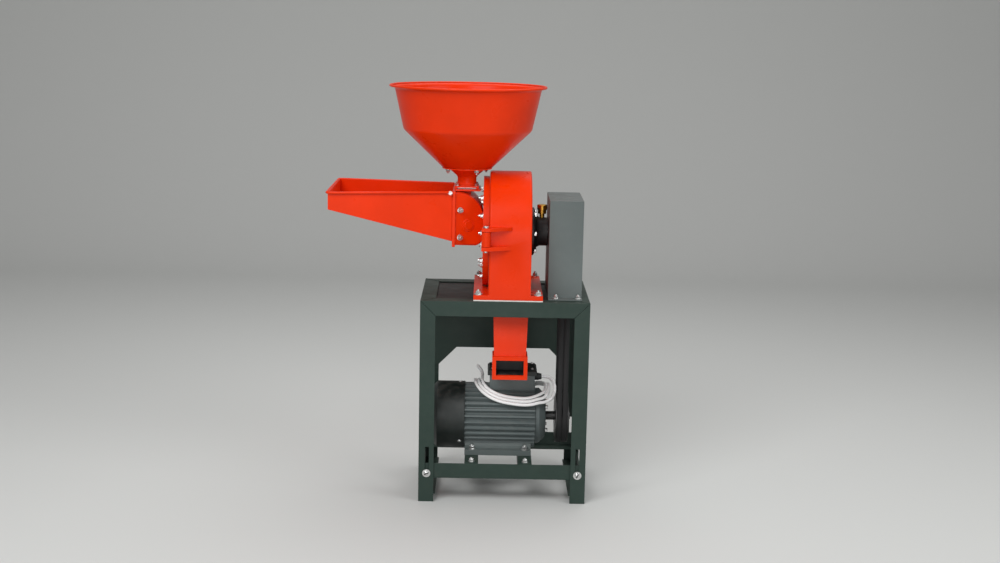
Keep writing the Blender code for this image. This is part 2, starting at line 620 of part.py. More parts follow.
def make_rotor(body, hammer_bodies, steel, iron):
    """The mill shaft, its two plates with the hammer pins, the hammers and the mill pulley."""
    axis = (0, 0, AXIS_HEIGHT)
    plate_right = ROTOR_LEFT + ROTOR_PLATE + ROTOR_GAP
    sleeve_left = ROTOR_LEFT + ROTOR_PLATE + CLEARANCE
    sleeve_right = plate_right - CLEARANCE
    shaft_left = ROTOR_LEFT - ROTOR_PLATE
    shaft = [(0, shaft_left), (SHAFT_RADIUS, shaft_left), (SHAFT_RADIUS, sleeve_left), (SLEEVE_RADIUS, sleeve_left),
             (SLEEVE_RADIUS, sleeve_right), (SHAFT_RADIUS, sleeve_right), (SHAFT_RADIUS, PULLEY_RIGHT),
             (0, PULLEY_RIGHT)]
    finish("main_shaft", turned(shaft, "x", axis, SMALL_ROUND), steel, body)
    bore = SHAFT_RADIUS + CLEARANCE
    left = ring(bore, ROTOR_RADIUS, "x", axis, ROTOR_LEFT, ROTOR_LEFT + ROTOR_PLATE)
    left = finish("rotor_plate_left", left, steel, body)
    right = ring(bore, ROTOR_RADIUS, "x", axis, plate_right, plate_right + ROTOR_PLATE)
    right = finish("rotor_plate_right", right, steel, body)
    for hammer_body in hammer_bodies:
        place = (0, hammer_body.location.y, hammer_body.location.z)
        pin = rod(PIN_RADIUS, "x", place, ROTOR_LEFT + ROTOR_PLATE / 2, plate_right + ROTOR_PLATE)
        combine(left, pin, "UNION", body)
        hole = rod(PIN_RADIUS + CLEARANCE, "x", place, plate_right - CUT_OVER, plate_right + ROTOR_PLATE + CUT_OVER)
        combine(right, hole, "DIFFERENCE", body)
    hammer_left = ROTOR_LEFT + ROTOR_PLATE + (ROTOR_GAP - HAMMER_THICKNESS) / 2
    for number, hammer_body in enumerate(hammer_bodies, 1):
        y = hammer_body.location.y
        z = hammer_body.location.z
        bar = block((hammer_left, y - HAMMER_WIDTH / 2, z - HAMMER_REACH),
                    (hammer_left + HAMMER_THICKNESS, y + HAMMER_WIDTH / 2, z + HAMMER_TAIL))
        hammer = finish(f"hammer_{number}", bar, iron, hammer_body)
        eye = rod(PIN_RADIUS + CLEARANCE, "x", (0, y, z), hammer_left - CUT_OVER,
                  hammer_left + HAMMER_THICKNESS + CUT_OVER)
        combine(hammer, eye, "DIFFERENCE", hammer_body)
    finish("mill_pulley", turned(pulley(MILL_PULLEY_RADIUS, bore), "x", axis, LARGE_ROUND), iron, body)


def make_belts(body, rubber):
    """Two V belts, each spun round one pulley, run down, spun round the other and run back."""
    span = AXIS_HEIGHT - MOTOR_HEIGHT
    lean = math.asin((MOTOR_PULLEY_RADIUS - MILL_PULLEY_RADIUS) / span)
    up = Vector((0, math.cos(lean), math.sin(lean)))
    for number, side in ((1, -1), (2, 1)):
        middle = BELT_MIDDLE + side * BELT_PITCH / 2
        section = [(middle - BELT_TOP_WIDTH / 2, 0), (middle + BELT_TOP_WIDTH / 2, 0),
                   (middle + BELT_FOOT_WIDTH / 2, -BELT_HEIGHT), (middle - BELT_FOOT_WIDTH / 2, -BELT_HEIGHT)]
        shape = bmesh.new()
        mill = Vector((0, 0, AXIS_HEIGHT))
        motor = Vector((0, 0, MOTOR_HEIGHT))
        points = [shape.verts.new(mill + up * (MILL_PULLEY_RADIUS + lift) + Vector((x, 0, 0))) for x, lift in section]
        edges = [shape.edges.new((points[i], points[(i + 1) % 4])) for i in range(4)]
        wrap = bmesh.ops.spin(shape, geom=points + edges, cent=mill, axis=(1, 0, 0), angle=math.pi - 2 * lean,
                              steps=LARGE_ROUND // 2, use_merge=False)["geom_last"]
        last = [item for item in wrap if isinstance(item, bmesh.types.BMEdge)]
        grown = bmesh.ops.extrude_edge_only(shape, edges=last)["geom"]
        moved = [item for item in grown if isinstance(item, bmesh.types.BMVert)]
        down = Vector((0, -math.cos(lean), math.sin(lean)))
        reach = motor + down * MOTOR_PULLEY_RADIUS - mill - down * MILL_PULLEY_RADIUS
        bmesh.ops.translate(shape, vec=reach, verts=moved)
        run = [item for item in grown if isinstance(item, bmesh.types.BMEdge)]
        run = [edge for edge in run if all(corner in moved for corner in edge.verts)]
        wrap = bmesh.ops.spin(shape, geom=moved + run, cent=motor, axis=(1, 0, 0), angle=math.pi + 2 * lean,
                              steps=LARGE_ROUND // 2, use_merge=False)["geom_last"]
        last = [item for item in wrap if isinstance(item, bmesh.types.BMEdge)]
        bmesh.ops.bridge_loops(shape, edges=last + edges)
        finish(f"v_belt_{number}", shape, rubber, body)


def make_guard(body, grey):
    """The sheet guard over the mill pulley, with a foot at the front and the rear."""
    left = GUARD_LEFT
    right = GUARD_LEFT + GUARD_WIDTH
    half = GUARD_DEPTH / 2
    bottom = STAND_HEIGHT + CLEARANCE
    guard = finish("belt_guard", block((left, -half, bottom), (right, half, GUARD_TOP)), grey, body)
    foot = block((left, -half - GUARD_FOOT, bottom), (right, half + GUARD_FOOT, bottom + GUARD_FOOT_THICKNESS))
    combine(guard, foot, "UNION", body)
    inside = block((left + GUARD_WALL, -half + GUARD_WALL, bottom - CUT_OVER),
                   (right - GUARD_WALL, half - GUARD_WALL, GUARD_TOP - GUARD_WALL))
    combine(guard, inside, "DIFFERENCE", body)
    hole = rod(GUARD_SHAFT_HOLE, "x", (0, 0, AXIS_HEIGHT), left - CUT_OVER, left + CUT_OVER)
    combine(guard, hole, "DIFFERENCE", body)


def make_spout(body, red):
    """The discharge spout: a funnel under the deck that ends in a mouth towards the operator."""
    def wide(width, front, rear, wall):
        return (SPOUT_MIDDLE - width / 2 + wall, SPOUT_MIDDLE + width / 2 - wall, front + wall, rear - wall)

    top = DECK_TOP - DECK_THICKNESS - CLEARANCE
    neck = wide(SPOUT_NECK_WIDTH, SPOUT_NECK_FRONT, SPOUT_NECK_REAR, 0)
    mouth_top = SPOUT_NECK_HEIGHT
    outer = tapered_block(neck, wide(SPOUT_TOP_WIDTH, SPOUT_TOP_FRONT, SPOUT_TOP_REAR, 0), mouth_top - SHEET, top)
    spout = finish("discharge_spout", outer, red, body)
    half = SPOUT_MOUTH_WIDTH / 2
    mouth = block((SPOUT_MIDDLE - half, SPOUT_MOUTH_FRONT, SPOUT_MOUTH_BOTTOM),
                  (SPOUT_MIDDLE + half, SPOUT_NECK_REAR, mouth_top))
    combine(spout, mouth, "UNION", body)
    inner = tapered_block(wide(SPOUT_NECK_WIDTH, SPOUT_NECK_FRONT, SPOUT_NECK_REAR, SHEET),
                          wide(SPOUT_TOP_WIDTH, SPOUT_TOP_FRONT, SPOUT_TOP_REAR, SHEET), mouth_top - MOUTH_WALL * 2,
                          top + CUT_OVER)
    combine(spout, inner, "DIFFERENCE", body)
    opening = block((SPOUT_MIDDLE - half + MOUTH_WALL, SPOUT_MOUTH_FRONT - CUT_OVER, SPOUT_MOUTH_BOTTOM + MOUTH_WALL),
                    (SPOUT_MIDDLE + half - MOUTH_WALL, SPOUT_NECK_REAR - SHEET, mouth_top - MOUTH_WALL))
    combine(spout, opening, "DIFFERENCE", body)


def make_door(body, gate_body, frame_body, red, steel):
    """The side door on its hinge with the feed head, tray, hopper and feed gate."""
    axis = (0, 0, AXIS_HEIGHT)
    dish = DOOR_LEFT + DOOR_DISH
    inner_rim = DOOR_RADIUS - DOOR_RIM
    disc = [(0, DOOR_RIGHT), (DOOR_RADIUS, DOOR_RIGHT), (DOOR_RADIUS, DOOR_LEFT), (inner_rim, DOOR_LEFT),
            (inner_rim - DOOR_DISH, dish), (inner_rim - 2 * DOOR_RIM, dish),
            (inner_rim - 2 * DOOR_RIM - DOOR_DISH, DOOR_LEFT), (0, DOOR_LEFT)]
    door = finish("door_cover", turned(disc, "x", axis, LARGE_ROUND), red, body)
    knuckle_bottom = LOWER_LUG_TOP + SWING_CLEARANCE
    knuckle_top = UPPER_LUG_BOTTOM - SWING_CLEARANCE
    left = DOOR_LEFT + DOOR_STEP
    right = DOOR_RIGHT - DOOR_STEP
    arm = block((left, HINGE_Y, knuckle_bottom + DOOR_STEP), (right, DOOR_RIM - DOOR_RADIUS, knuckle_top - DOOR_STEP))
    combine(door, arm, "UNION", body)
    hinge = (HINGE_X, HINGE_Y, 0)
    combine(door, rod(KNUCKLE_RADIUS, "z", hinge, knuckle_bottom, knuckle_top), "UNION", body)
    ear = block((left, DOOR_RADIUS - DOOR_RIM, AXIS_HEIGHT - EAR_HEIGHT / 2),
                (right, LATCH_Y + EAR_REACH / 2, AXIS_HEIGHT + EAR_HEIGHT / 2))
    combine(door, ear, "UNION", body)
    notch = LATCH_BOLT_RADIUS + LATCH_SLOT_SPARE
    combine(door, block((DOOR_LEFT - CUT_OVER, LATCH_Y - notch, AXIS_HEIGHT - EAR_HEIGHT),
                        (DOOR_RIGHT + CUT_OVER, LATCH_Y + notch, AXIS_HEIGHT + notch)), "DIFFERENCE", body)
    hole = rod(HINGE_PIN_RADIUS + CLEARANCE, "z", hinge, knuckle_bottom - CUT_OVER, knuckle_top + CUT_OVER)
    combine(door, hole, "DIFFERENCE", body)
    inlet = block((FEED_HEAD_RIGHT - FEED_HEAD_WALL * 2, -INLET_WIDTH / 2, INLET_BOTTOM),
                  (DOOR_RIGHT + CUT_OVER, INLET_WIDTH / 2, INLET_TOP))
    combine(door, inlet.copy(), "DIFFERENCE", body)
    pin_bottom = LOWER_LUG_BOTTOM - HINGE_PIN_HEAD_HEIGHT
    head = UPPER_LUG_TOP + CLEARANCE
    head_top = head + HINGE_PIN_HEAD_HEIGHT
    pin = [(0, pin_bottom), (HINGE_PIN_RADIUS, pin_bottom), (HINGE_PIN_RADIUS, head), (HINGE_PIN_HEAD, head),
           (HINGE_PIN_HEAD, head_top), (0, head_top)]
    finish("hinge_pin", turned(pin, "z", hinge, SMALL_ROUND), steel, frame_body)
    make_feed_head(body, inlet, red)
    make_tray(body, red)
    make_hopper(body, red)
    reach = NECK_FLANGE / 2 + GATE_HANDLE
    gate = block((HOPPER_MIDDLE - GATE_WIDTH / 2, -GATE_OVERLAP, GATE_BOTTOM),
                 (HOPPER_MIDDLE + GATE_WIDTH / 2, reach, GATE_BOTTOM + GATE_THICKNESS))
    finish("feed_gate", gate, steel, gate_body)


def make_feed_head(body, inlet, red):
    """The casting that takes grain from the tray and the hopper into the door."""
    flange_right = FEED_HEAD_LEFT + FEED_HEAD_FLANGE
    flange = block((FEED_HEAD_LEFT, -FEED_HEAD_WIDTH / 2, FEED_HEAD_BOTTOM),
                   (flange_right, FEED_HEAD_WIDTH / 2, FEED_HEAD_TOP))
    head = finish("feed_head", flange, red, body)
    wide = FEED_HEAD_WIDTH / 2 - FEED_HEAD_FLANGE
    narrow = FEED_HEAD_NARROW / 2
    inset = FEED_HEAD_LEFT + FEED_HEAD_STEP
    casting = [(inset, -wide), (inset, wide), (flange_right, wide),
               (FEED_HEAD_RIGHT, narrow), (FEED_HEAD_RIGHT, -narrow), (flange_right, -wide)]
    combine(head, prism(casting, "z", FEED_HEAD_BOTTOM, FEED_HEAD_TOP), "UNION", body)
    wall = FEED_HEAD_WALL
    hollow = [(FEED_HEAD_LEFT - CUT_OVER, -wide + wall), (FEED_HEAD_LEFT - CUT_OVER, wide - wall),
              (flange_right, wide - wall), (FEED_HEAD_RIGHT - wall, narrow - wall),
              (FEED_HEAD_RIGHT - wall, wall - narrow), (flange_right, wall - wide)]
    combine(head, prism(hollow, "z", FEED_HEAD_BOTTOM + wall, FEED_HEAD_TOP - wall), "DIFFERENCE", body)
    combine(head, inlet, "DIFFERENCE", body)
    chute = rod(NECK_RADIUS - SHEET, "z", (HOPPER_MIDDLE, 0, 0), FEED_HEAD_TOP - 2 * wall, FEED_HEAD_TOP + CUT_OVER)
    combine(head, chute, "DIFFERENCE", body)


def make_tray(body, red):
    """The flared sheet tray, closed at its outer end and open to the feed head."""
    right = FEED_HEAD_LEFT - CLEARANCE
    length = right - TRAY_LEFT
    floor_left = TRAY_RIM - TRAY_DEPTH_LEFT
    floor_right = TRAY_RIM - TRAY_DEPTH_RIGHT
    slope = Vector((floor_right - floor_left, 0, -length)).normalized()

    def trough(wall, spare):
        left_half = TRAY_WIDTH_LEFT / 2 - wall
        right_half = TRAY_WIDTH_RIGHT / 2 - wall
        grow = (right_half - left_half) / length
        start = TRAY_LEFT + wall
        end = right + spare
        plan = [(start, -left_half), (end, -left_half - grow * (end - start)),
                (end, left_half + grow * (end - start)), (start, left_half)]
        shape = prism(plan, "z", floor_right - TRAY_DEPTH_LEFT, TRAY_RIM + spare)
        slice_off(shape, Vector((TRAY_LEFT, 0, floor_left)) - slope * wall, slope)
        return shape

    tray = finish("feed_tray", trough(0, 0), red, body)
    combine(tray, trough(SHEET, CUT_OVER), "DIFFERENCE", body)


def make_hopper(body, red):
    """The sheet hopper and the neck that it is bolted to."""
    middle = (HOPPER_MIDDLE, 0, 0)
    flange_top = FUNNEL_TOP + HOPPER_FLANGE_THICKNESS
    bore = NECK_RADIUS - SHEET
    neck = [(bore, NECK_FLANGE_BOTTOM), (NECK_RADIUS, NECK_FLANGE_BOTTOM), (NECK_RADIUS, NECK_TOP),
            (FUNNEL_RADIUS, FUNNEL_TOP), (HOPPER_FLANGE_RADIUS, FUNNEL_TOP), (HOPPER_FLANGE_RADIUS, flange_top),
            (HOPPER_OUTLET_RADIUS, flange_top), (bore, NECK_TOP)]
    neck = finish("hopper_neck", turned(neck, "z", middle, LARGE_ROUND), red, body)
    half = NECK_FLANGE / 2
    plate_top = NECK_FLANGE_BOTTOM + NECK_FLANGE_THICKNESS
    combine(neck, block((HOPPER_MIDDLE - half, -half, NECK_FLANGE_BOTTOM), (HOPPER_MIDDLE + half, half, plate_top)),
            "UNION", body)
    for side in (-1, 1):
        faces = sorted((HOPPER_MIDDLE + side * (GATE_WIDTH / 2 + CLEARANCE), HOPPER_MIDDLE + side * half))
        strip = block((faces[0], -half, GATE_BOTTOM), (faces[1], half, NECK_FLANGE_BOTTOM + CLEARANCE))
        combine(neck, strip, "UNION", body)
    combine(neck, rod(bore, "z", middle, GATE_BOTTOM, plate_top + CLEARANCE, LARGE_ROUND), "DIFFERENCE", body)
    lip = HOPPER_LIP
    bottom = HOPPER_BOTTOM
    floor = bottom + SHEET
    outer = [(HOPPER_OUTLET_RADIUS, bottom), (HOPPER_FLANGE_RADIUS, bottom), (HOPPER_CONE_RADIUS, HOPPER_CONE_TOP),
             (HOPPER_WALL_RADIUS, HOPPER_WALL_TOP), (HOPPER_RIM_RADIUS, HOPPER_RIM_TOP - lip),
             (HOPPER_RIM_RADIUS, HOPPER_RIM_TOP), (HOPPER_RIM_RADIUS - lip, HOPPER_RIM_TOP)]
    inner = [(HOPPER_WALL_RADIUS - SHEET, HOPPER_WALL_TOP), (HOPPER_CONE_RADIUS - SHEET, HOPPER_CONE_TOP),
             (HOPPER_FLANGE_RADIUS - SHEET, floor), (HOPPER_OUTLET_RADIUS, floor)]
    finish("hopper", turned(outer + inner, "z", middle, LARGE_ROUND), red, body)


def make_latch(frame_body, body, nut_body, steel):
    """The swing bolt that holds the door shut, hanging free on its pivot, and its hand nut."""
    pivot = (LATCH_PIVOT_X, 0, AXIS_HEIGHT)
    wall = HOUSING_RADIUS + CLEARANCE
    half_eye = LATCH_EYE_WIDTH / 2
    stud_end = LATCH_Y + half_eye + SWING_CLEARANCE
    stud = [(0, wall), (LATCH_PIVOT_RADIUS * 2, wall), (LATCH_PIVOT_RADIUS * 2, LATCH_Y - half_eye - SWING_CLEARANCE),
            (LATCH_PIVOT_RADIUS, LATCH_Y - half_eye - SWING_CLEARANCE), (LATCH_PIVOT_RADIUS, stud_end), (0, stud_end)]
    finish("latch_pivot", turned(stud, "y", pivot, SMALL_ROUND), steel, frame_body)
    eye = ring(LATCH_PIVOT_RADIUS + CLEARANCE, LATCH_EYE_RADIUS, "y", pivot, LATCH_Y - half_eye,
               LATCH_Y + half_eye, SMALL_ROUND)
    bolt = finish("latch_bolt", eye, steel, body)
    stem = rod(LATCH_BOLT_RADIUS, "z", (LATCH_PIVOT_X, LATCH_Y, 0), AXIS_HEIGHT - LATCH_BOLT_LENGTH,
               AXIS_HEIGHT - LATCH_EYE_RADIUS + SWING_CLEARANCE)
    combine(bolt, stem, "UNION", body)
    door_reach = LATCH_PIVOT_X - DOOR_LEFT
    near = AXIS_HEIGHT - math.hypot(door_reach, EAR_HEIGHT / 2) - LATCH_SPARE
    grip = []
    for step in range(2 * LATCH_NUT_LOBES):
        turn = math.pi * step / LATCH_NUT_LOBES
        radius = LATCH_NUT_RADIUS if step % 2 else LATCH_NUT_VALLEY
        grip.append((LATCH_PIVOT_X + radius * math.cos(turn), LATCH_Y + radius * math.sin(turn)))
    nut = finish("latch_nut", prism(grip, "z", near - LATCH_NUT_LENGTH, near), steel, nut_body)
    bore = rod(LATCH_BOLT_RADIUS + CLEARANCE, "z", (LATCH_PIVOT_X, LATCH_Y, 0), near - LATCH_NUT_LENGTH - CUT_OVER,
               near + CUT_OVER)
    combine(nut, bore, "DIFFERENCE", nut_body)


def make_motor_deck(body, green, grey):
    """The cross rails in the leg slots and the two bars that the motor stands on."""
    half_length = HALF_WIDTH - ANGLE_WALL - LOWER_RAIL_SPARE
    inner = HALF_DEPTH - ANGLE_WALL - CLEARANCE
    for name, y_side in (("front", -1), ("rear", 1)):
        outline = angle_outline(y_side * inner, LOWER_RAIL_BOTTOM, y_side, -1)
        finish(f"lower_rail_{name}", prism(outline, "x", -half_length, half_length), green, body)
    reach = inner - ANGLE_WALL - CLEARANCE
    wall = ANGLE_WALL
    half = MOTOR_BAR_WIDTH / 2
    low = MOTOR_BAR_BOTTOM
    high = low + MOTOR_BAR_HEIGHT
    for name, x_side in (("left", -1), ("right", 1)):
        middle = MOTOR_BAR_MIDDLE + x_side * MOTOR_BAR_SPACING / 2
        channel = [(-half, low), (-half, high), (half, high), (half, low), (half - wall, low),
                   (half - wall, high - wall), (wall - half, high - wall), (wall - half, low)]
        channel = [(middle + x, z) for x, z in channel]
        finish(f"motor_bar_{name}", prism(channel, "y", -reach, reach), grey, body)


def make_motor(body, spin_body, grey, dark, steel, iron):
    """The finned foot motor with its end shield, fan, cover, terminal box and rotor."""
    axis = (0, 0, MOTOR_HEIGHT)
    fins = []
    quarter = math.tau / MOTOR_FIN_COUNT / 4
    for number in range(MOTOR_FIN_COUNT):
        middle = math.tau * number / MOTOR_FIN_COUNT
        for radius, turn in ((MOTOR_CORE_RADIUS, -FIN_FOOT_SHARE), (MOTOR_FIN_RADIUS, -FIN_TIP_SHARE),
                             (MOTOR_FIN_RADIUS, FIN_TIP_SHARE), (MOTOR_CORE_RADIUS, FIN_FOOT_SHARE)):
            swing = middle + turn * quarter
            fins.append((radius * math.cos(swing), MOTOR_HEIGHT + radius * math.sin(swing)))
    motor = finish("motor_body", prism(fins, "x", MOTOR_LEFT, MOTOR_RIGHT), grey, body)
    foot_left = (MOTOR_LEFT + MOTOR_RIGHT - MOTOR_FOOT_LENGTH) / 2
    foot_right = foot_left + MOTOR_FOOT_LENGTH
    foot_top = MOTOR_FOOT_BOTTOM + MOTOR_FOOT_THICKNESS
    combine(motor, block((foot_left, -MOTOR_FOOT_WIDTH / 2, MOTOR_FOOT_BOTTOM),
                         (foot_right, MOTOR_FOOT_WIDTH / 2, foot_top)), "UNION", body)
    pedestal = MOTOR_PEDESTAL_WIDTH / 2
    step_in = MOTOR_PEDESTAL_STEP
    combine(motor, block((foot_left + step_in, -pedestal, foot_top - step_in),
                         (foot_right - step_in, pedestal, MOTOR_HEIGHT - MOTOR_BORE)), "UNION", body)
    combine(motor, rod(MOTOR_BORE, "x", axis, MOTOR_LEFT + MOTOR_END_WALL, MOTOR_RIGHT + CUT_OVER), "DIFFERENCE", body)
    shaft_hole = MOTOR_SHAFT_RADIUS + CLEARANCE
    combine(motor, rod(shaft_hole, "x", axis, MOTOR_LEFT - CUT_OVER, MOTOR_RIGHT), "DIFFERENCE", body)
    nose = SHIELD_LEFT + SHIELD_RIM
    shield = [(shaft_hole, SHIELD_LEFT), (SHIELD_RADIUS, SHIELD_LEFT), (SHIELD_RADIUS, nose),
              (SHIELD_NOSE_RADIUS, SHIELD_RIGHT), (shaft_hole, SHIELD_RIGHT)]
    finish("drive_end_shield", turned(shield, "x", axis, LARGE_ROUND), grey, body)
    cover_right = MOTOR_LEFT + FAN_COVER_LAP
    cover_left = cover_right - FAN_COVER_LENGTH
    inside = MOTOR_FIN_RADIUS + CLEARANCE
    outside = inside + FAN_COVER_WALL
    bend = FAN_COVER_WALL * 4
    vent = FAN_HUB_RADIUS
    cover = [(inside, cover_right), (outside, cover_right), (outside, cover_left + bend),
             (outside - bend, cover_left), (vent, cover_left), (vent, cover_left + FAN_COVER_WALL),
             (outside - bend, cover_left + FAN_COVER_WALL), (inside, cover_left + bend)]
    finish("fan_cover", turned(cover, "x", axis, LARGE_ROUND), dark, body)
    fan_left = MOTOR_LEFT - FAN_LENGTH - FAN_COVER_LAP
    blades = []
    for number in range(FAN_BLADES):
        middle = math.tau * number / FAN_BLADES
        for radius, turn in ((FAN_HUB_RADIUS, -BLADE_FOOT_TURN), (FAN_RADIUS, -BLADE_TIP_TURN),
                             (FAN_RADIUS, BLADE_TIP_TURN), (FAN_HUB_RADIUS, BLADE_FOOT_TURN)):
            swing = middle + turn
            blades.append((radius * math.cos(swing), MOTOR_HEIGHT + radius * math.sin(swing)))
    fan = finish("cooling_fan", prism(blades, "x", fan_left, fan_left + FAN_LENGTH), dark, spin_body)
    combine(fan, rod(shaft_hole, "x", axis, fan_left - CUT_OVER, fan_left + FAN_LENGTH + CUT_OVER), "DIFFERENCE", spin_body)
    core_left = MOTOR_LEFT + MOTOR_END_WALL + SWING_CLEARANCE * 5
    core_right = core_left + MOTOR_CORE_LENGTH
    core = MOTOR_BORE - SWING_CLEARANCE
    shaft = [(0, fan_left), (MOTOR_SHAFT_RADIUS, fan_left), (MOTOR_SHAFT_RADIUS, core_left), (core, core_left),
             (core, core_right), (MOTOR_SHAFT_RADIUS, core_right), (MOTOR_SHAFT_RADIUS, PULLEY_RIGHT),
             (0, PULLEY_RIGHT)]
    finish("motor_shaft", turned(shaft, "x", axis, SMALL_ROUND), steel, spin_body)
    profile = pulley(MOTOR_PULLEY_RADIUS, shaft_hole)
    finish("motor_pulley", turned(profile, "x", axis, LARGE_ROUND), iron, spin_body)
    half = BOX_WIDTH / 2
    box = block((BOX_LEFT, -half, MOTOR_HEIGHT + BOX_FOOT), (BOX_RIGHT, half, BOX_TOP))
    box = finish("terminal_box", box, grey, body)
    seat = rod(MOTOR_FIN_RADIUS + CLEARANCE, "x", axis, MOTOR_LEFT, MOTOR_RIGHT + CUT_OVER, LARGE_ROUND)
    combine(box, seat, "DIFFERENCE", body)
    lid_low = BOX_TOP + CLEARANCE
    lid = block((BOX_LEFT - LID_OVERHANG, -half - LID_OVERHANG, lid_low),
                (BOX_RIGHT + LID_OVERHANG, half + LID_OVERHANG, lid_low + LID_HEIGHT))
    top_edges = [edge for edge in lid.edges if all(v.co.z > lid_low + LID_HEIGHT / 2 for v in edge.verts)]
    bmesh.ops.bevel(lid, geom=top_edges, offset=LID_CHAMFER, segments=1, affect="EDGES", profile=0.5)
    finish("terminal_box_lid", lid, dark, body)


def smooth_route(points, samples):
    """Read points from one smooth curve through a route, end points included."""
    route = [Vector(point) for point in points]
    padded = [2 * route[0] - route[1]] + route + [2 * route[-1] - route[-2]]
    result = []
    for index in range(len(route) - 1):
        a, b, c, d = padded[index:index + 4]
        for step in range(samples):
            t = step / samples
            result.append(0.5 * (2 * b + (c - a) * t + (2 * a - 5 * b + 4 * c - d) * t ** 2
                                 + (3 * b - a - 3 * c + d) * t ** 3))
    return result + [route[-1]]


def make_cord_piece(name, points, rounding, material, body):
    """Make one stretch of cord as a tube along points given in the mill's frame."""
    curve = bpy.data.curves.new(name, "CURVE")
    curve.dimensions = "3D"
    curve.bevel_depth = CORD_RADIUS
    curve.bevel_resolution = rounding
    curve.use_fill_caps = True
    spline = curve.splines.new("POLY")
    spline.points.add(len(points) - 1)
    for slot, point in zip(spline.points, points):
        slot.co = (*(point - body.location), 1)
    curve.materials.append(material)
    part = bpy.data.objects.new(name, curve)
    bpy.context.collection.objects.link(part)
    part.parent = body


def coil_points():
    """Work out the loops that lie round the terminal box, over the round of the motor."""
    count = round(COIL_TURN / 360 * COIL_POINTS_PER_LOOP)
    rest = MOTOR_FIN_RADIUS + CORD_RADIUS + COIL_REST
    points = []
    for step in range(count + 1):
        turned_by = COIL_TURN * step / count
        angle = math.radians(COIL_START - turned_by)
        shrink = COIL_PITCH * turned_by / 360
        across = math.copysign(abs(math.cos(angle)) ** COIL_SQUARENESS, math.cos(angle))
        along = math.copysign(abs(math.sin(angle)) ** COIL_SQUARENESS, math.sin(angle))
        x = COIL_MIDDLE + (COIL_LENGTH / 2 - shrink) * across
        lean = ((COIL_WIDTH / 2 - shrink) * along - COIL_SLANT * (x - COIL_MIDDLE)) / rest
        past = max(0, min(1, (x - MOTOR_RIGHT - CORD_RADIUS) / SHIELD_LENGTH))
        rising = max(0, 1 - (COIL_TURN - turned_by) / COIL_LIFT_TURN)
        z = MOTOR_HEIGHT + rest * math.cos(lean) - COIL_DROOP * past ** 2 * (3 - 2 * past)
        points.append(Vector((x, rest * math.sin(lean), z + COIL_LIFT * rising ** 2)))
    return points


def make_cord(body, dark, white):
    """The gland, the lead out of it, the coil and the free tail."""
    axis = (0, GLAND_Y, GLAND_Z)
    hex_end = GLAND_LEFT + GLAND_LENGTH / 2
    gland = [(0, GLAND_LEFT), (GLAND_RADIUS, GLAND_LEFT), (GLAND_RADIUS, hex_end),
             (GLAND_NOSE_RADIUS, GLAND_RIGHT), (0, GLAND_RIGHT)]
    finish("cable_gland", turned(gland, "x", axis, SMALL_ROUND), dark, body)
    coil = coil_points()
    gap = CORD_RADIUS * 2 + CLEARANCE
    start_way = (coil[0] - coil[1]).normalized()
    end_way = (coil[-1] - coil[-2]).normalized()
    start = coil[0] + start_way * CORD_GAP
    end = coil[-1] + end_way * CORD_GAP
    out = Vector((GLAND_RIGHT + CLEARANCE, GLAND_Y, GLAND_Z))
    lead = [out] + smooth_route([*LEAD_ROUTE, start + start_way * gap], 2) + [start]
    tail = [end] + smooth_route([end + end_way * gap, *TAIL_ROUTE], 2)
    make_cord_piece("cord_lead", lead, 2, white, body)
    make_cord_piece("cord_coil", coil, 1, white, body)
    make_cord_piece("cord_tail", tail, 2, white, body)
    near = min((a - b).length for i, a in enumerate(coil) for b in coil[i + COIL_POINTS_PER_LOOP // 2:])
    print("least gap between the loops of the cord, in millimetres:", round((near - 2 * CORD_RADIUS) * 1000, 2))


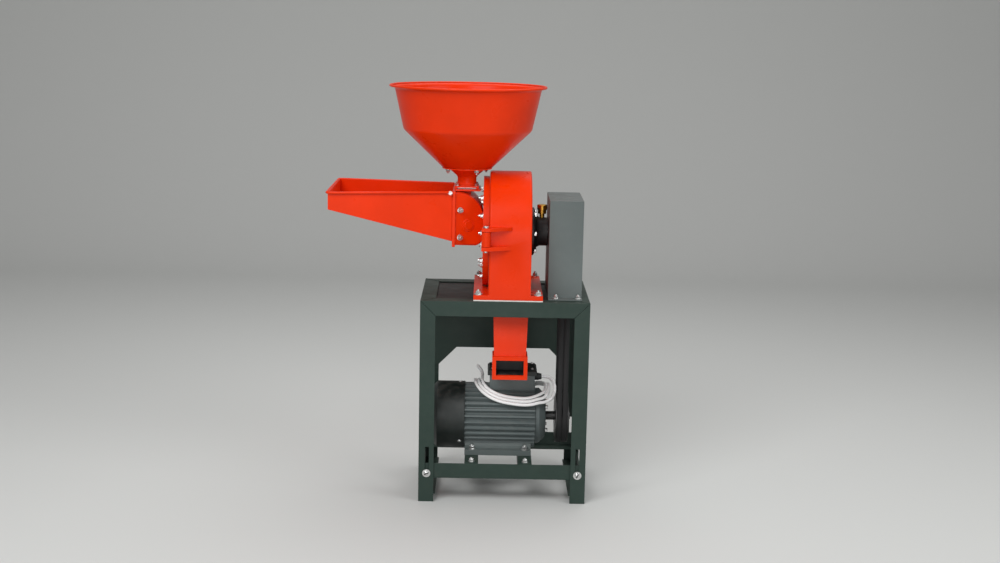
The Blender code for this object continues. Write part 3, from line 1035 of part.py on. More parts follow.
def main():
    """Build every piece on its body."""
    clear_scene()
    red = paint("mill_red", 228, 58, 20, 0.42, 0.0)
    green = paint("stand_green", 55, 72, 66, 0.55, 0.0)
    deck_paint = paint("deck_dark", 53, 53, 52, 0.6, 0.0)
    guard_grey = paint("guard_grey", 99, 107, 109, 0.5, 0.0)
    motor_grey = paint("motor_grey", 86, 94, 96, 0.5, 0.0)
    black = paint("bearing_black", 30, 31, 32, 0.5, 0.2)
    shroud = paint("shroud_dark", 42, 51, 48, 0.5, 0.0)
    steel = paint("bare_steel", 170, 170, 168, 0.35, 1.0)
    iron = paint("dark_iron", 70, 70, 70, 0.5, 0.9)
    brass = paint("brass", 200, 150, 60, 0.3, 1.0)
    rubber = paint("belt_rubber", 26, 26, 26, 0.8, 0.0)
    white = paint("cord_white", 239, 243, 245, 0.45, 0.0)
    mill = make_body("mill", (-MILL_MIDDLE_X, 0, 0))
    frame_body = make_body("frame_body", (0, 0, 0), mill)
    rotor_body = make_body("rotor_body", (0, 0, AXIS_HEIGHT), mill)
    hammer_bodies = []
    for number in range(HAMMER_COUNT):
        turn = math.tau * number / HAMMER_COUNT
        place = (0, PIN_CIRCLE * math.sin(turn), AXIS_HEIGHT + PIN_CIRCLE * math.cos(turn))
        hammer_bodies.append(make_body(f"hammer_body_{number + 1}", place, mill))
    door_body = make_body("door_body", (HINGE_X, HINGE_Y, 0), mill)
    gate_body = make_body("gate_body", (HOPPER_MIDDLE, 0, GATE_BOTTOM), mill)
    latch_body = make_body("latch_body", (LATCH_PIVOT_X, LATCH_Y, AXIS_HEIGHT), mill)
    nut_body = make_body("nut_body", (LATCH_PIVOT_X, LATCH_Y, AXIS_HEIGHT - LATCH_BOLT_LENGTH), mill)
    deck_body = make_body("deck_body", (0, 0, LOWER_RAIL_BOTTOM), mill)
    motor_spin_body = make_body("motor_spin_body", (0, 0, MOTOR_HEIGHT), mill)
    cup_x = BEARING_BODY_RIGHT - CUP_INSET
    cap_body = make_body("cap_body", (cup_x, 0, AXIS_HEIGHT), mill)
    make_stand(frame_body, green, deck_paint)
    make_housing(frame_body, red, white, steel)
    make_bearings(frame_body, cap_body, black, steel, brass)
    make_rotor(rotor_body, hammer_bodies, steel, iron)
    make_belts(frame_body, rubber)
    make_guard(frame_body, guard_grey)
    make_spout(frame_body, red)
    make_door(door_body, gate_body, frame_body, red, steel)
    make_latch(frame_body, latch_body, nut_body, steel)
    make_motor_deck(deck_body, green, guard_grey)
    make_motor(deck_body, motor_spin_body, motor_grey, shroud, steel, iron)
    make_cord(deck_body, shroud, white)


main()
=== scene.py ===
"""The looks of a belt-driven hammer mill on an angle-iron stand.

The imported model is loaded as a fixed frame, and each operator below makes one piece of the finish,
or one group of like pieces, on it. All sizes are in metres, X to the right, Y away and Z up.
"""
import json
import math

import bmesh
import bpy
from mathutils import Matrix, Vector


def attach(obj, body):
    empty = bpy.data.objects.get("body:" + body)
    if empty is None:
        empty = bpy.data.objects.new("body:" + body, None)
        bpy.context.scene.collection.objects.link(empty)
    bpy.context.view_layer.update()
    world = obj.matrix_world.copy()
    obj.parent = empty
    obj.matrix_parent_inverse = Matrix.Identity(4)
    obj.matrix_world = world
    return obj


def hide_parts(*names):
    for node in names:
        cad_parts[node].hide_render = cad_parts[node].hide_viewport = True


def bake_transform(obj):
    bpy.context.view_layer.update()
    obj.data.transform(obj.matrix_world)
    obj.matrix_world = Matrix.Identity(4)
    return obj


bl_info = {
    "name": "Hammer mill finish",
    "version": (1, 0, 0),
    "blender": (4, 5, 0),
    "location": "View3D > Sidebar > Mill",
    "description": "Dresses the packed hammer mill with paint, bolts, cord and belts",
    "category": "Object",
}

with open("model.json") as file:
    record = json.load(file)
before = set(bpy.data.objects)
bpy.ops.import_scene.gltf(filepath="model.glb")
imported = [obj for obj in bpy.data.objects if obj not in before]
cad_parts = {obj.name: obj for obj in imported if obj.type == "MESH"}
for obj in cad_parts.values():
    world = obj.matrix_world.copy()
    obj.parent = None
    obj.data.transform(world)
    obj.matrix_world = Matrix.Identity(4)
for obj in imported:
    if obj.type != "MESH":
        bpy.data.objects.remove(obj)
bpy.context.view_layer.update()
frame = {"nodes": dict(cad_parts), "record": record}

# Axes from the record; the stand's middle is given from the middle of the whole machine
JOINTS = {joint["name"]: joint for joint in frame["record"]["behaviour"]["joints"]}
STAND_X, _, MILL_AXIS = JOINTS["mill_spin"]["pos_m"]
MOTOR_AXIS = JOINTS["motor_spin"]["pos_m"][2]

# Places on the CAD that several pieces share
HOPPER_X = -0.1064
HOPPER_BOTTOM = 0.8713
HOPPER_TOP = 1.0865
HOPPER_RIM_RADIUS = 0.2076
HOUSING_RADIUS = 0.160
HOUSING_LEFT = -0.045
HOUSING_RIGHT = 0.065
MILL_PULLEY_RADIUS = 0.045
MOTOR_PULLEY_RADIUS = 0.072
BELT_MIDDLE = 0.160
TRAY_TOP = 0.8165
FEED_LEFT = -0.134
FEED_RIGHT = -0.0616
FEED_HALF_LEFT = 0.096
FEED_HALF_RIGHT = 0.062
FEED_SLOPE = (FEED_HALF_LEFT - FEED_HALF_RIGHT) / (FEED_RIGHT - FEED_LEFT)
FAN_FACE = -0.1858

# The photograph's camera, turned in degrees, and the studio round the mill
CAMERA_PLACE = (-0.0517, -3.966, 1.274)
CAMERA_YAW = 0.552
CAMERA_PITCH = 10.142
CAMERA_ROLL = 1.168
CAMERA_LENS = 54.0
FLOOR_REACH = 30.0
FLOOR_BACK = 3.2
FLOOR_BEND = 1.2
WALL_HEIGHT = 9.0
AIR_STRENGTH = 0.27
LIGHT_TARGET = (0.05, 0, 0.6)
# Each light's name, place, width and power
LIGHTS = (("key_light", (-1.3, -2.6, 3.1), 2.2, 84.0),
          ("side_light", (2.6, -1.8, 2.2), 1.8, 34.0),
          ("top_light", (0.2, 0.9, 3.2), 2.4, 40.0),
          ("front_light", (0.1, -3.6, 0.9), 1.4, 16.0))

# The cord's loops over the motor, with turns in degrees, and its two free runs
COIL_MIDDLE = 0.027
COIL_HALF_LENGTH = 0.106
COIL_HALF_WIDTH = 0.096
COIL_PITCH = 0.0093
COIL_SQUARENESS = 0.78
COIL_SLANT = 0.12
COIL_START = -40.0
COIL_TURN = 866.0
COIL_STEPS = 58
COIL_RADIUS = 0.09475
COIL_DROOP = 0.010
DROOP_START = 0.087 + 0.00425
DROOP_REACH = 0.029
COIL_LIFT = 0.008
COIL_LIFT_TURN = 50.0
LEAD_ROUTE = ((0.1056, 0.0200, 0.3000), (0.1130, 0.0198, 0.2999), (0.1245, 0.0168, 0.2983),
              (0.1350, 0.0062, 0.2925), (0.1396, -0.0099, 0.2839), (0.1396, -0.0275, 0.2744),
              (0.1372, -0.0434, 0.2659), (0.1300, -0.0575, 0.2580))
TAIL_ROUTE = ((-0.0565, 0.0400, 0.3015), (-0.0590, 0.0490, 0.3065), (-0.0640, 0.0560, 0.3120),
              (-0.0690, 0.0610, 0.3170))

# Heights of the bumps in the finishes
PEEL_HEIGHT = 0.0006
MARK_HEIGHT = 0.0003
GRAIN_HEIGHT = 0.0004
FLOOR_GRAIN_HEIGHT = 0.001

UP = (0, 0, 1)
DOWN = (0, 0, -1)
RIGHT = (1, 0, 0)
LEFT = (-1, 0, 0)


def linear(red, green, blue):
    """Turn a screen colour of 0 to 255 into Blender's linear colour."""
    shares = [value / 255 for value in (red, green, blue)]
    return tuple(v / 12.92 if v <= 0.04045 else ((v + 0.055) / 1.055) ** 2.4 for v in shares) + (1.0,)


def place(x, y, z):
    """A point given from the floor under the stand's middle, in the frame of the whole machine."""
    return Vector((x + STAND_X, y, z))


def arc(first, second, radius, start, sweep, steps):
    """Points along an arc in a plane, with its turns in degrees."""
    turns = [math.radians(start + sweep * step / steps) for step in range(steps + 1)]
    return [(first + radius * math.cos(turn), second + radius * math.sin(turn)) for turn in turns]


def colour(name, what, red, green, blue):
    """A colour that a user may change."""
    return bpy.props.FloatVectorProperty(name=name, description=what, subtype="COLOR", size=4, min=0, max=1,
                                         default=linear(red, green, blue))


def length(name, what, size):
    """A length that a user may change."""
    return bpy.props.FloatProperty(name=name, description=what, default=size, min=0, unit="LENGTH",
                                   precision=4)


class MillColours(bpy.types.PropertyGroup):
    """The colours of the mill's finishes and of the room."""
    mill_red: colour("Mill red", "Enamel of the mill, tray, hopper and spout", 228, 52, 4)
    stand_green: colour("Stand green", "Enamel of the angle-iron stand", 39, 57, 50)
    deck_dark: colour("Deck", "Enamel of the deck plate", 36, 35, 35)
    guard_grey: colour("Guard grey", "Enamel of the belt guard", 90, 99, 98)
    motor_grey: colour("Motor grey", "Enamel of the motor's castings", 92, 102, 102)
    shroud_dark: colour("Shroud", "Enamel of the fan cover and the terminal box lid", 25, 33, 31)
    fan_plastic: colour("Fan plastic", "Moulded fan and cable gland", 38, 42, 42)
    bearing_black: colour("Bearing black", "Painted bearing housing", 31, 32, 33)
    bare_steel: colour("Bare steel", "Shafts, bolts and plates", 222, 223, 222)
    # Dark iron also serves as painted shade in the slots of the pan screws
    dark_iron: colour("Dark iron", "Hammers and pulleys", 84, 84, 84)
    # Bearing black also serves as painted shade inside the spout's mouth
    brass: colour("Brass", "Grease cup", 206, 160, 70)
    belt_rubber: colour("Belt rubber", "V belts", 28, 28, 29)
    gasket_white: colour("Gasket", "Gasket under the mill", 232, 233, 228)
    cord_white: colour("Cord white", "Sheath of the motor cord", 253, 254, 254)
    copper: colour("Copper", "Wires in the cord's cut end", 196, 120, 74)
    dust: colour("Dust", "Dust on the flat tops", 150, 146, 138)
    floor: colour("Floor", "Studio floor and backdrop", 205, 206, 204)


class MillSizes(bpy.types.PropertyGroup):
    """Sizes of the small pieces."""
    edge: length("Edge round", "Round on the edges of sheet and castings", 0.0012)
    rim_bead: length("Rim bead", "Radius of the rolled rims of hopper and tray", 0.0032)
    weld: length("Weld bead", "Radius of the weld beads", 0.0022)
    bolt: length("Bolt head", "Width of a common bolt head, flat to flat", 0.013)
    cord: length("Cord", "Diameter of the motor cord", 0.0085)


def noise(tree, where, scale, detail):
    """A noise texture over some coordinates, as its factor."""
    made = tree.nodes.new("ShaderNodeTexNoise")
    made.inputs["Scale"].default_value = scale
    made.inputs["Detail"].default_value = detail
    tree.links.new(where, made.inputs["Vector"])
    return made.outputs["Fac"]


def ranged(tree, value, low, high, to_low, to_high):
    """A value stretched from one range to another, and held within it."""
    made = tree.nodes.new("ShaderNodeMapRange")
    made.inputs["From Min"].default_value = low
    made.inputs["From Max"].default_value = high
    made.inputs["To Min"].default_value = to_low
    made.inputs["To Max"].default_value = to_high
    tree.links.new(value, made.inputs["Value"])
    return made.outputs["Result"]


def combined(tree, kind, *values):
    """Values joined one after the other by a sum or a product."""
    total = values[0]
    for value in values[1:]:
        made = tree.nodes.new("ShaderNodeMath")
        made.operation = kind
        tree.links.new(total, made.inputs[0])
        tree.links.new(value, made.inputs[1])
        total = made.outputs[0]
    return total


def mixed(tree, share, first, second):
    """Two colours mixed by a share of the second."""
    made = tree.nodes.new("ShaderNodeMix")
    made.data_type = "RGBA"
    tree.links.new(share, made.inputs["Factor"])
    tree.links.new(first, made.inputs["A"])
    tree.links.new(second, made.inputs["B"])
    return made.outputs["Result"]


def shifted(tree, paint, value=1.0, saturation=1.0):
    """The node that lightens, darkens or greys a colour."""
    made = tree.nodes.new("ShaderNodeHueSaturation")
    made.inputs["Value"].default_value = value
    made.inputs["Saturation"].default_value = saturation
    tree.links.new(paint, made.inputs["Color"])
    return made


def start_group(name, colours, values, height):
    """A node group that takes colours and values, and gives a colour, a roughness and a height."""
    group = bpy.data.node_groups.new(name, "ShaderNodeTree")
    sockets = [(title, "INPUT", "NodeSocketColor") for title in colours]
    sockets += [(title, "INPUT", "NodeSocketFloat") for title in values]
    sockets += [("Colour", "OUTPUT", "NodeSocketColor"), ("Roughness", "OUTPUT", "NodeSocketFloat"),
                (height, "OUTPUT", "NodeSocketFloat")]
    for title, way, kind in sockets:
        group.interface.new_socket(name=title, in_out=way, socket_type=kind)
    given = group.nodes.new("NodeGroupInput").outputs
    out = group.nodes.new("NodeGroupOutput").inputs
    where = group.nodes.new("ShaderNodeTexCoord").outputs["Object"]
    return group, given, out, where


def enamel_group():
    """Sprayed enamel: uneven coat, orange peel, dust on the tops and chips along the edges."""
    group, given, out, where = start_group("Sprayed enamel", ("Paint", "Dust"),
                                           ("Dust Amount", "Edge Wear", "Gloss Roughness"), "Peel")
    link = group.links.new
    surface = group.nodes.new("ShaderNodeNewGeometry")
    coat = shifted(group, given["Paint"])
    link(ranged(group, noise(group, where, 7.0, 4.0), 0.3, 0.7, 0.90, 1.08), coat.inputs["Value"])
    upward = group.nodes.new("ShaderNodeSeparateXYZ")
    link(surface.outputs["Normal"], upward.inputs["Vector"])
    tops = ranged(group, upward.outputs["Z"], 0.55, 0.95, 0.15, 1.0)
    specks = ranged(group, noise(group, where, 60.0, 6.0), 0.42, 0.68, 0.0, 1.0)
    dusty = combined(group, "MULTIPLY", tops, specks, given["Dust Amount"])
    dusted = mixed(group, dusty, coat.outputs["Color"], given["Dust"])
    rounded = group.nodes.new("ShaderNodeBevel")
    rounded.samples = 4
    rounded.inputs["Radius"].default_value = 0.0022
    facing = group.nodes.new("ShaderNodeVectorMath")
    facing.operation = "DOT_PRODUCT"
    link(rounded.outputs["Normal"], facing.inputs[0])
    link(surface.outputs["Normal"], facing.inputs[1])
    edges = ranged(group, facing.outputs["Value"], 0.80, 0.99, 1.0, 0.0)
    chips = ranged(group, noise(group, where, 95.0, 5.0), 0.48, 0.62, 0.0, 1.0)
    worn = combined(group, "MULTIPLY", edges, chips, given["Edge Wear"])
    bare = shifted(group, given["Paint"], value=1.7, saturation=0.75)
    link(mixed(group, worn, dusted, bare.outputs["Color"]), out["Colour"])
    uneven = ranged(group, noise(group, where, 26.0, 3.0), 0.3, 0.7, -0.05, 0.07)
    link(combined(group, "ADD", given["Gloss Roughness"], uneven, dusty), out["Roughness"])
    link(noise(group, where, 420.0, 2.0), out["Peel"])
    return group


def grain_group():
    """Bare metal: turning marks, mottling and tarnish."""
    group, given, out, where = start_group("Metal grain", ("Metal",), ("Tarnish", "Polish Roughness"),
                                           "Marks")
    link = group.links.new
    stretch = group.nodes.new("ShaderNodeMapping")
    stretch.inputs["Scale"].default_value = (900.0, 60.0, 60.0)
    link(where, stretch.inputs["Vector"])
    dull = ranged(group, noise(group, where, 55.0, 5.0), 0.45, 0.75, 0.0, 1.0)
    share = combined(group, "MULTIPLY", dull, given["Tarnish"])
    darker = shifted(group, given["Metal"], value=0.45)
    link(mixed(group, share, given["Metal"], darker.outputs["Color"]), out["Colour"])
    rough = group.nodes.new("ShaderNodeMath")
    rough.operation = "MULTIPLY_ADD"
    rough.inputs[1].default_value = 0.30
    link(share, rough.inputs[0])
    link(given["Polish Roughness"], rough.inputs[2])
    link(rough.outputs[0], out["Roughness"])
    link(noise(group, stretch.outputs["Vector"], 1.0, 3.0), out["Marks"])
    return group


def start_material(name, tint):
    """A node material with its Principled shader, and its colour for the 3D view."""
    material = bpy.data.materials.new(name + "_finish")
    material.use_nodes = True
    material.diffuse_color = tint
    return material.node_tree, material.node_tree.nodes["Principled BSDF"]


def add_bump(tree, height, strength, distance):
    """Lead a height into the shader's normal."""
    bump = tree.nodes.new("ShaderNodeBump")
    bump.inputs["Strength"].default_value = strength
    bump.inputs["Distance"].default_value = distance
    tree.links.new(height, bump.inputs["Height"])
    tree.links.new(bump.outputs["Normal"], tree.nodes["Principled BSDF"].inputs["Normal"])


def add_group(tree, shader, group, values):
    """Set a group's values, and lead its colour and roughness into the shader."""
    node = tree.nodes.new("ShaderNodeGroup")
    node.node_tree = group
    for title, value in values.items():
        node.inputs[title].default_value = value
    tree.links.new(node.outputs["Colour"], shader.inputs["Base Color"])
    tree.links.new(node.outputs["Roughness"], shader.inputs["Roughness"])
    return node


def tint_of(name):
    """The colour that is set for a finish."""
    return getattr(bpy.context.scene.mill_colours, name)


def enamel(name, group, roughness, dust_amount, wear, peel=0.05, shine=0.5):
    """A painted finish from the enamel group."""
    tree, shader = start_material(name, tint_of(name))
    coat = add_group(tree, shader, group, {
        "Paint": tint_of(name), "Dust": tint_of("dust"), "Dust Amount": dust_amount, "Edge Wear": wear,
        "Gloss Roughness": roughness})
    shader.inputs["Specular IOR Level"].default_value = shine
    add_bump(tree, coat.outputs["Peel"], peel, PEEL_HEIGHT)


def metal(name, group, roughness, tarnish, depth=0.06):
    """A bare metal from the grain group."""
    tree, shader = start_material(name, tint_of(name))
    grain = add_group(tree, shader, group, {
        "Metal": tint_of(name), "Tarnish": tarnish, "Polish Roughness": roughness})
    shader.inputs["Metallic"].default_value = 1.0
    add_bump(tree, grain.outputs["Marks"], depth, MARK_HEIGHT)


def moulded(name, scale, contrast, roughness, depth):
    """Rubber, plastic and cord sheath: a fine grain with faint rubbed patches."""
    tree, shader = start_material(name, tint_of(name))
    where = tree.nodes.new("ShaderNodeTexCoord").outputs["Object"]
    patch = noise(tree, where, 38.0, 4.0)
    tone = tree.nodes.new("ShaderNodeHueSaturation")
    tone.inputs["Color"].default_value = tint_of(name)
    lift = ranged(tree, patch, 0.3, 0.7, 1.0 - contrast, 1.0 + contrast / 2)
    tree.links.new(lift, tone.inputs["Value"])
    tree.links.new(tone.outputs["Color"], shader.inputs["Base Color"])
    rough = ranged(tree, patch, 0.3, 0.7, roughness - 0.07, roughness + 0.07)
    tree.links.new(rough, shader.inputs["Roughness"])
    add_bump(tree, noise(tree, where, scale, 3.0), depth, GRAIN_HEIGHT)


def make_finishes():
    """Every finish, under the name of its slot in the record."""
    coat = enamel_group()
    enamel("mill_red", coat, roughness=0.31, dust_amount=0.02, wear=0.22, peel=0.04, shine=0.15)
    enamel("stand_green", coat, roughness=0.48, dust_amount=0.10, wear=0.30, shine=0.35)
    enamel("deck_dark", coat, roughness=0.55, dust_amount=0.12, wear=0.20, shine=0.3)
    enamel("guard_grey", coat, roughness=0.46, dust_amount=0.14, wear=0.25)
    enamel("motor_grey", coat, roughness=0.50, dust_amount=0.16, wear=0.25, peel=0.30)
    enamel("shroud_dark", coat, roughness=0.45, dust_amount=0.16, wear=0.25)
    enamel("bearing_black", coat, roughness=0.42, dust_amount=0.18, wear=0.20, peel=0.30)
    grain = grain_group()
    metal("bare_steel", grain, roughness=0.28, tarnish=0.30)
    metal("dark_iron", grain, roughness=0.42, tarnish=0.45, depth=0.15)
    metal("brass", grain, roughness=0.27, tarnish=0.40)
    metal("copper", grain, roughness=0.30, tarnish=0.20)
    moulded("fan_plastic", scale=700.0, contrast=0.15, roughness=0.5, depth=0.10)
    moulded("belt_rubber", scale=900.0, contrast=0.25, roughness=0.72, depth=0.25)
    moulded("gasket_white", scale=500.0, contrast=0.10, roughness=0.7, depth=0.15)
    moulded("cord_white", scale=300.0, contrast=0.02, roughness=0.38, depth=0.04)


def set_mesh(name, shape, finish, angle):
    """Turn a bmesh into an object with one finish, smooth but for its sharp edges."""
    bmesh.ops.recalc_face_normals(shape, faces=shape.faces)
    mesh = bpy.data.meshes.new(name)
    shape.to_mesh(mesh)
    shape.free()
    mesh.shade_smooth()
    mesh.set_sharp_from_angle(angle=math.radians(angle))
    mesh.materials.append(bpy.data.materials[finish + "_finish"])
    piece = bpy.data.objects.new(name, mesh)
    bpy.context.collection.objects.link(piece)
    return piece


def add_piece(name, shape, finish, body, angle=35.0):
    """Close a bmesh, and set it on its body as a piece with one finish."""
    bmesh.ops.remove_doubles(shape, verts=shape.verts, dist=0.00001)
    piece = set_mesh(name, shape, finish, angle)
    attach(piece, body)
    return piece


def round_edges(piece, width):
    """Round the edges of a piece as a press or a mould leaves them."""
    modifier = piece.modifiers.new("Edges", "BEVEL")
    modifier.width = width
    modifier.segments = 2
    modifier.limit_method = "ANGLE"
    modifier.angle_limit = math.radians(40.0)
    modifier.profile = 0.5
    modifier.harden_normals = True
    return modifier


def add_block(shape, low, high):
    """Add a box between two corners, in either order, to a bmesh."""
    size = [abs(high[i] - low[i]) for i in range(3)]
    at = Matrix.Translation((low + high) / 2) @ Matrix.Diagonal((*size, 1))
    bmesh.ops.create_cube(shape, size=1, matrix=at)


def aimed(point, way):
    """The matrix that puts a shape at a point with its Z along a way."""
    turn = Vector(way).to_track_quat("Z", "Y").to_matrix().to_4x4()
    return Matrix.Translation(point) @ turn


def add_round(shape, stand, radius, end_radius, low, high, segments):
    """Add a round or tapered bar to a bmesh, between two heights over its stand."""
    at = stand @ Matrix.Translation((0, 0, (low + high) / 2))
    bmesh.ops.create_cone(shape, cap_ends=True, segments=segments, radius1=radius, radius2=end_radius,
                          depth=high - low, matrix=at)


def add_bolt(shape, point, way, across, washer, stub=0.0):
    """Add a hex bolt with its washer, standing on a face at a point and pointing along a way."""
    stand = aimed(point, way)
    plate = across * 0.14
    shoulder = plate + across * 0.48
    top = plate + across * 0.60
    flats = across / math.sqrt(3)
    add_round(shape, stand, across * washer / 2, across * washer / 2, 0, plate, 28)
    add_round(shape, stand, flats, flats, plate, shoulder, 6)
    add_round(shape, stand, flats * 0.97, flats * 0.80, shoulder, top, 6)
    if stub:
        add_round(shape, stand, across * 0.30, across * 0.26, top, top + stub, 16)


def add_pan_screw(shape, point, way, across):
    """Add a round-headed screw with its washer, standing on a face."""
    stand = aimed(point, way)
    plate = across * 0.10
    rise = across * 0.32
    add_round(shape, stand, across * 0.75, across * 0.75, 0, plate, 28)
    add_round(shape, stand, across * 0.50, across * 0.42, plate, plate + rise * 0.7, 28)
    add_round(shape, stand, across * 0.415, across * 0.24, plate + rise * 0.68, plate + rise, 28)


def open_edges(ring):
    """The edges round a ring that still lack a face."""
    edges = {edge for vert in ring for edge in vert.link_edges}
    return [edge for edge in edges if len(edge.link_faces) < 2 and all(v in ring for v in edge.verts)]


def add_tube(shape, points, radius, sides, closed=False):
    """Add a round bead along a row of points."""
    count = len(points)
    rings = []
    for index, point in enumerate(points):
        before = points[index - 1] if index or closed else points[0]
        after = points[(index + 1) % count] if index + 1 < count or closed else points[-1]
        made = bmesh.ops.create_circle(shape, cap_ends=False, radius=radius, segments=sides,
                                       matrix=aimed(point, after - before))
        rings.append(made["verts"])
    for index in range(count if closed else count - 1):
        after = rings[(index + 1) % count]
        bmesh.ops.bridge_loops(shape, edges=open_edges(rings[index]) + open_edges(after))
    if not closed:
        for ring in (rings[0], rings[-1]):
            bmesh.ops.contextual_create(shape, geom=ring)


def spun(shape, profile, steps):
    """Spin a profile of radius and height full round the hopper's axis."""
    points = [shape.verts.new(place(HOPPER_X + radius, 0, height)) for radius, height in profile]
    edges = [shape.edges.new(pair) for pair in zip(points, points[1:])]
    bmesh.ops.spin(shape, geom=points + edges, cent=place(HOPPER_X, 0, 0), axis=UP, angle=math.tau,
                   steps=steps, use_merge=True)


def smooth_route(route, samples):
    """Read points from one smooth curve through a route, end points included."""
    padded = [2 * route[0] - route[1]] + route + [2 * route[-1] - route[-2]]
    result = []
    for index in range(len(route) - 1):
        a, b, c, d = padded[index:index + 4]
        for step in range(samples):
            t = step / samples
            result.append(0.5 * (2 * b + (c - a) * t + (2 * a - 5 * b + 4 * c - d) * t ** 2
                                 + (3 * b - a - 3 * c + d) * t ** 3))
    return result + [route[-1]]


def squared(value):
    """A sine or cosine pushed outwards, so that a loop is squarer than an ellipse."""
    return math.copysign(abs(value) ** COIL_SQUARENESS, value)


def coil_route():
    """The loops of the cord that lie round the terminal box, over the motor, as in the CAD."""
    points = []
    for step in range(COIL_STEPS + 1):
        turned_by = COIL_TURN * step / COIL_STEPS
        angle = math.radians(COIL_START - turned_by)
        shrink = COIL_PITCH * turned_by / 360
        reach = (COIL_HALF_LENGTH - shrink) * squared(math.cos(angle))
        x = COIL_MIDDLE + reach
        lean = ((COIL_HALF_WIDTH - shrink) * squared(math.sin(angle)) - COIL_SLANT * reach) / COIL_RADIUS
        past = max(0, min(1, (x - DROOP_START) / DROOP_REACH))
        rising = max(0, 1 - (COIL_TURN - turned_by) / COIL_LIFT_TURN)
        lift = COIL_LIFT * rising ** 2 - COIL_DROOP * past ** 2 * (3 - 2 * past)
        z = MOTOR_AXIS + COIL_RADIUS * math.cos(lean) + lift
        points.append(place(x, COIL_RADIUS * math.sin(lean), z))
    return points


def grown_on(shape, edges, way):
    """Draw a row of edges out along a way; gives the new points and the new row of edges."""
    grown = bmesh.ops.extrude_edge_only(shape, edges=edges)["geom"]
    moved = [item for item in grown if isinstance(item, bmesh.types.BMVert)]
    bmesh.ops.translate(shape, vec=way, verts=moved)
    ends = [item for item in grown if isinstance(item, bmesh.types.BMEdge)]
    return moved, [edge for edge in ends if all(corner in moved for corner in edge.verts)]


def add_camera(context):
    """Put the camera where the photograph was taken."""
    camera = bpy.data.cameras.new("photo_camera")
    camera.sensor_fit = "HORIZONTAL"
    camera.sensor_width = 36.0
    camera.lens = CAMERA_LENS
    camera.clip_end = 60.0
    yaw = math.radians(CAMERA_YAW)
    pitch = math.radians(CAMERA_PITCH)
    roll = math.radians(CAMERA_ROLL)
    ahead = Vector((math.sin(yaw) * math.cos(pitch), math.cos(yaw) * math.cos(pitch), -math.sin(pitch)))
    level = Vector((math.cos(yaw), -math.sin(yaw), 0))
    upright = level.cross(ahead)
    right = math.cos(roll) * level + math.sin(roll) * upright
    over = math.cos(roll) * upright - math.sin(roll) * level
    eye = bpy.data.objects.new("photo_camera", camera)
    turn = Matrix((right, over, -ahead)).transposed().to_4x4()
    eye.matrix_world = Matrix.Translation(place(*CAMERA_PLACE)) @ turn
    context.collection.objects.link(eye)
    context.scene.camera = eye


def add_floor(tint):
    """Lay a plain floor that bends up into a backdrop."""
    tree, shader = start_material("studio_floor", tint)
    shader.inputs["Base Color"].default_value = tint
    shader.inputs["Roughness"].default_value = 0.85
    where = tree.nodes.new("ShaderNodeTexCoord").outputs["Object"]
    add_bump(tree, noise(tree, where, 160.0, 2.0), 0.05, FLOOR_GRAIN_HEIGHT)
    bend = arc(FLOOR_BACK, FLOOR_BEND, FLOOR_BEND, -90, 90, 12)
    outline = [(-FLOOR_REACH, 0)] + bend + [(FLOOR_BACK + FLOOR_BEND, WALL_HEIGHT)]
    shape = bmesh.new()
    points = [shape.verts.new((-FLOOR_REACH, y, z)) for y, z in outline]
    edges = [shape.edges.new(pair) for pair in zip(points, points[1:])]
    grown_on(shape, edges, Vector((2 * FLOOR_REACH, 0, 0)))
    floor = set_mesh("studio_floor", shape, "studio_floor", 180.0)


class MILL_OT_stage(bpy.types.Operator):
    """Put up the floor, the lights and the photograph's camera"""
    bl_idname = "mill.stage"
    bl_label = "Stage"

    def execute(self, context):
        scene = context.scene
        scene.view_settings.view_transform = "Standard"
        add_camera(context)
        add_floor(scene.mill_colours.floor)
        world = bpy.data.worlds.new("studio_air")
        world.use_nodes = True
        air = world.node_tree.nodes["Background"].inputs
        air["Color"].default_value = (1.0, 1.0, 1.0, 1.0)
        air["Strength"].default_value = AIR_STRENGTH
        scene.world = world
        for name, spot, size, power in LIGHTS:
            lamp = bpy.data.lights.new(name, "AREA")
            lamp.size = size
            lamp.energy = power
            light = bpy.data.objects.new(name, lamp)
            light.matrix_world = aimed(Vector(spot), Vector(spot) - Vector(LIGHT_TARGET))
            context.collection.objects.link(light)
        return {"FINISHED"}


class MILL_OT_cord(bpy.types.Operator):
    """Lay the motor cord: out of its gland, round the terminal box, and up to its cut end"""
    bl_idname = "mill.cord"
    bl_label = "Cord"

    def execute(self, context):
        lead = [place(*point) for point in LEAD_ROUTE]
        tail = [place(*point) for point in TAIL_ROUTE]
        points = smooth_route(lead + coil_route() + tail, 4)
        thick = context.scene.mill_sizes.cord
        curve = bpy.data.curves.new("motor_cord", "CURVE")
        curve.dimensions = "3D"
        curve.bevel_depth = thick / 2
        curve.bevel_resolution = 5
        curve.use_fill_caps = True
        spline = curve.splines.new("POLY")
        spline.points.add(len(points) - 1)
        for slot, point in zip(spline.points, points):
            slot.co = (*point, 1)
        spline.use_smooth = True
        curve.materials.append(bpy.data.materials["cord_white_finish"])
        cord = bpy.data.objects.new("motor_cord", curve)
        context.collection.objects.link(cord)
        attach(cord, "motor_deck")
        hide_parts("cord_lead", "cord_coil", "cord_tail")
        way = (points[-1] - points[-2]).normalized()
        wire_ring = 0.0017
        shape = bmesh.new()
        for step in range(3):
            turn = math.tau * step / 3
            spread = Vector((math.cos(turn), math.sin(turn), 0)) * wire_ring
            foot = aimed(points[-1], way) @ spread
            add_round(shape, aimed(foot, way), 0.0010, 0.0009, -0.0010, 0.0026, 12)
        cores = add_piece("cord_end_wires", shape, "copper", "motor_deck")
        return {"FINISHED"}


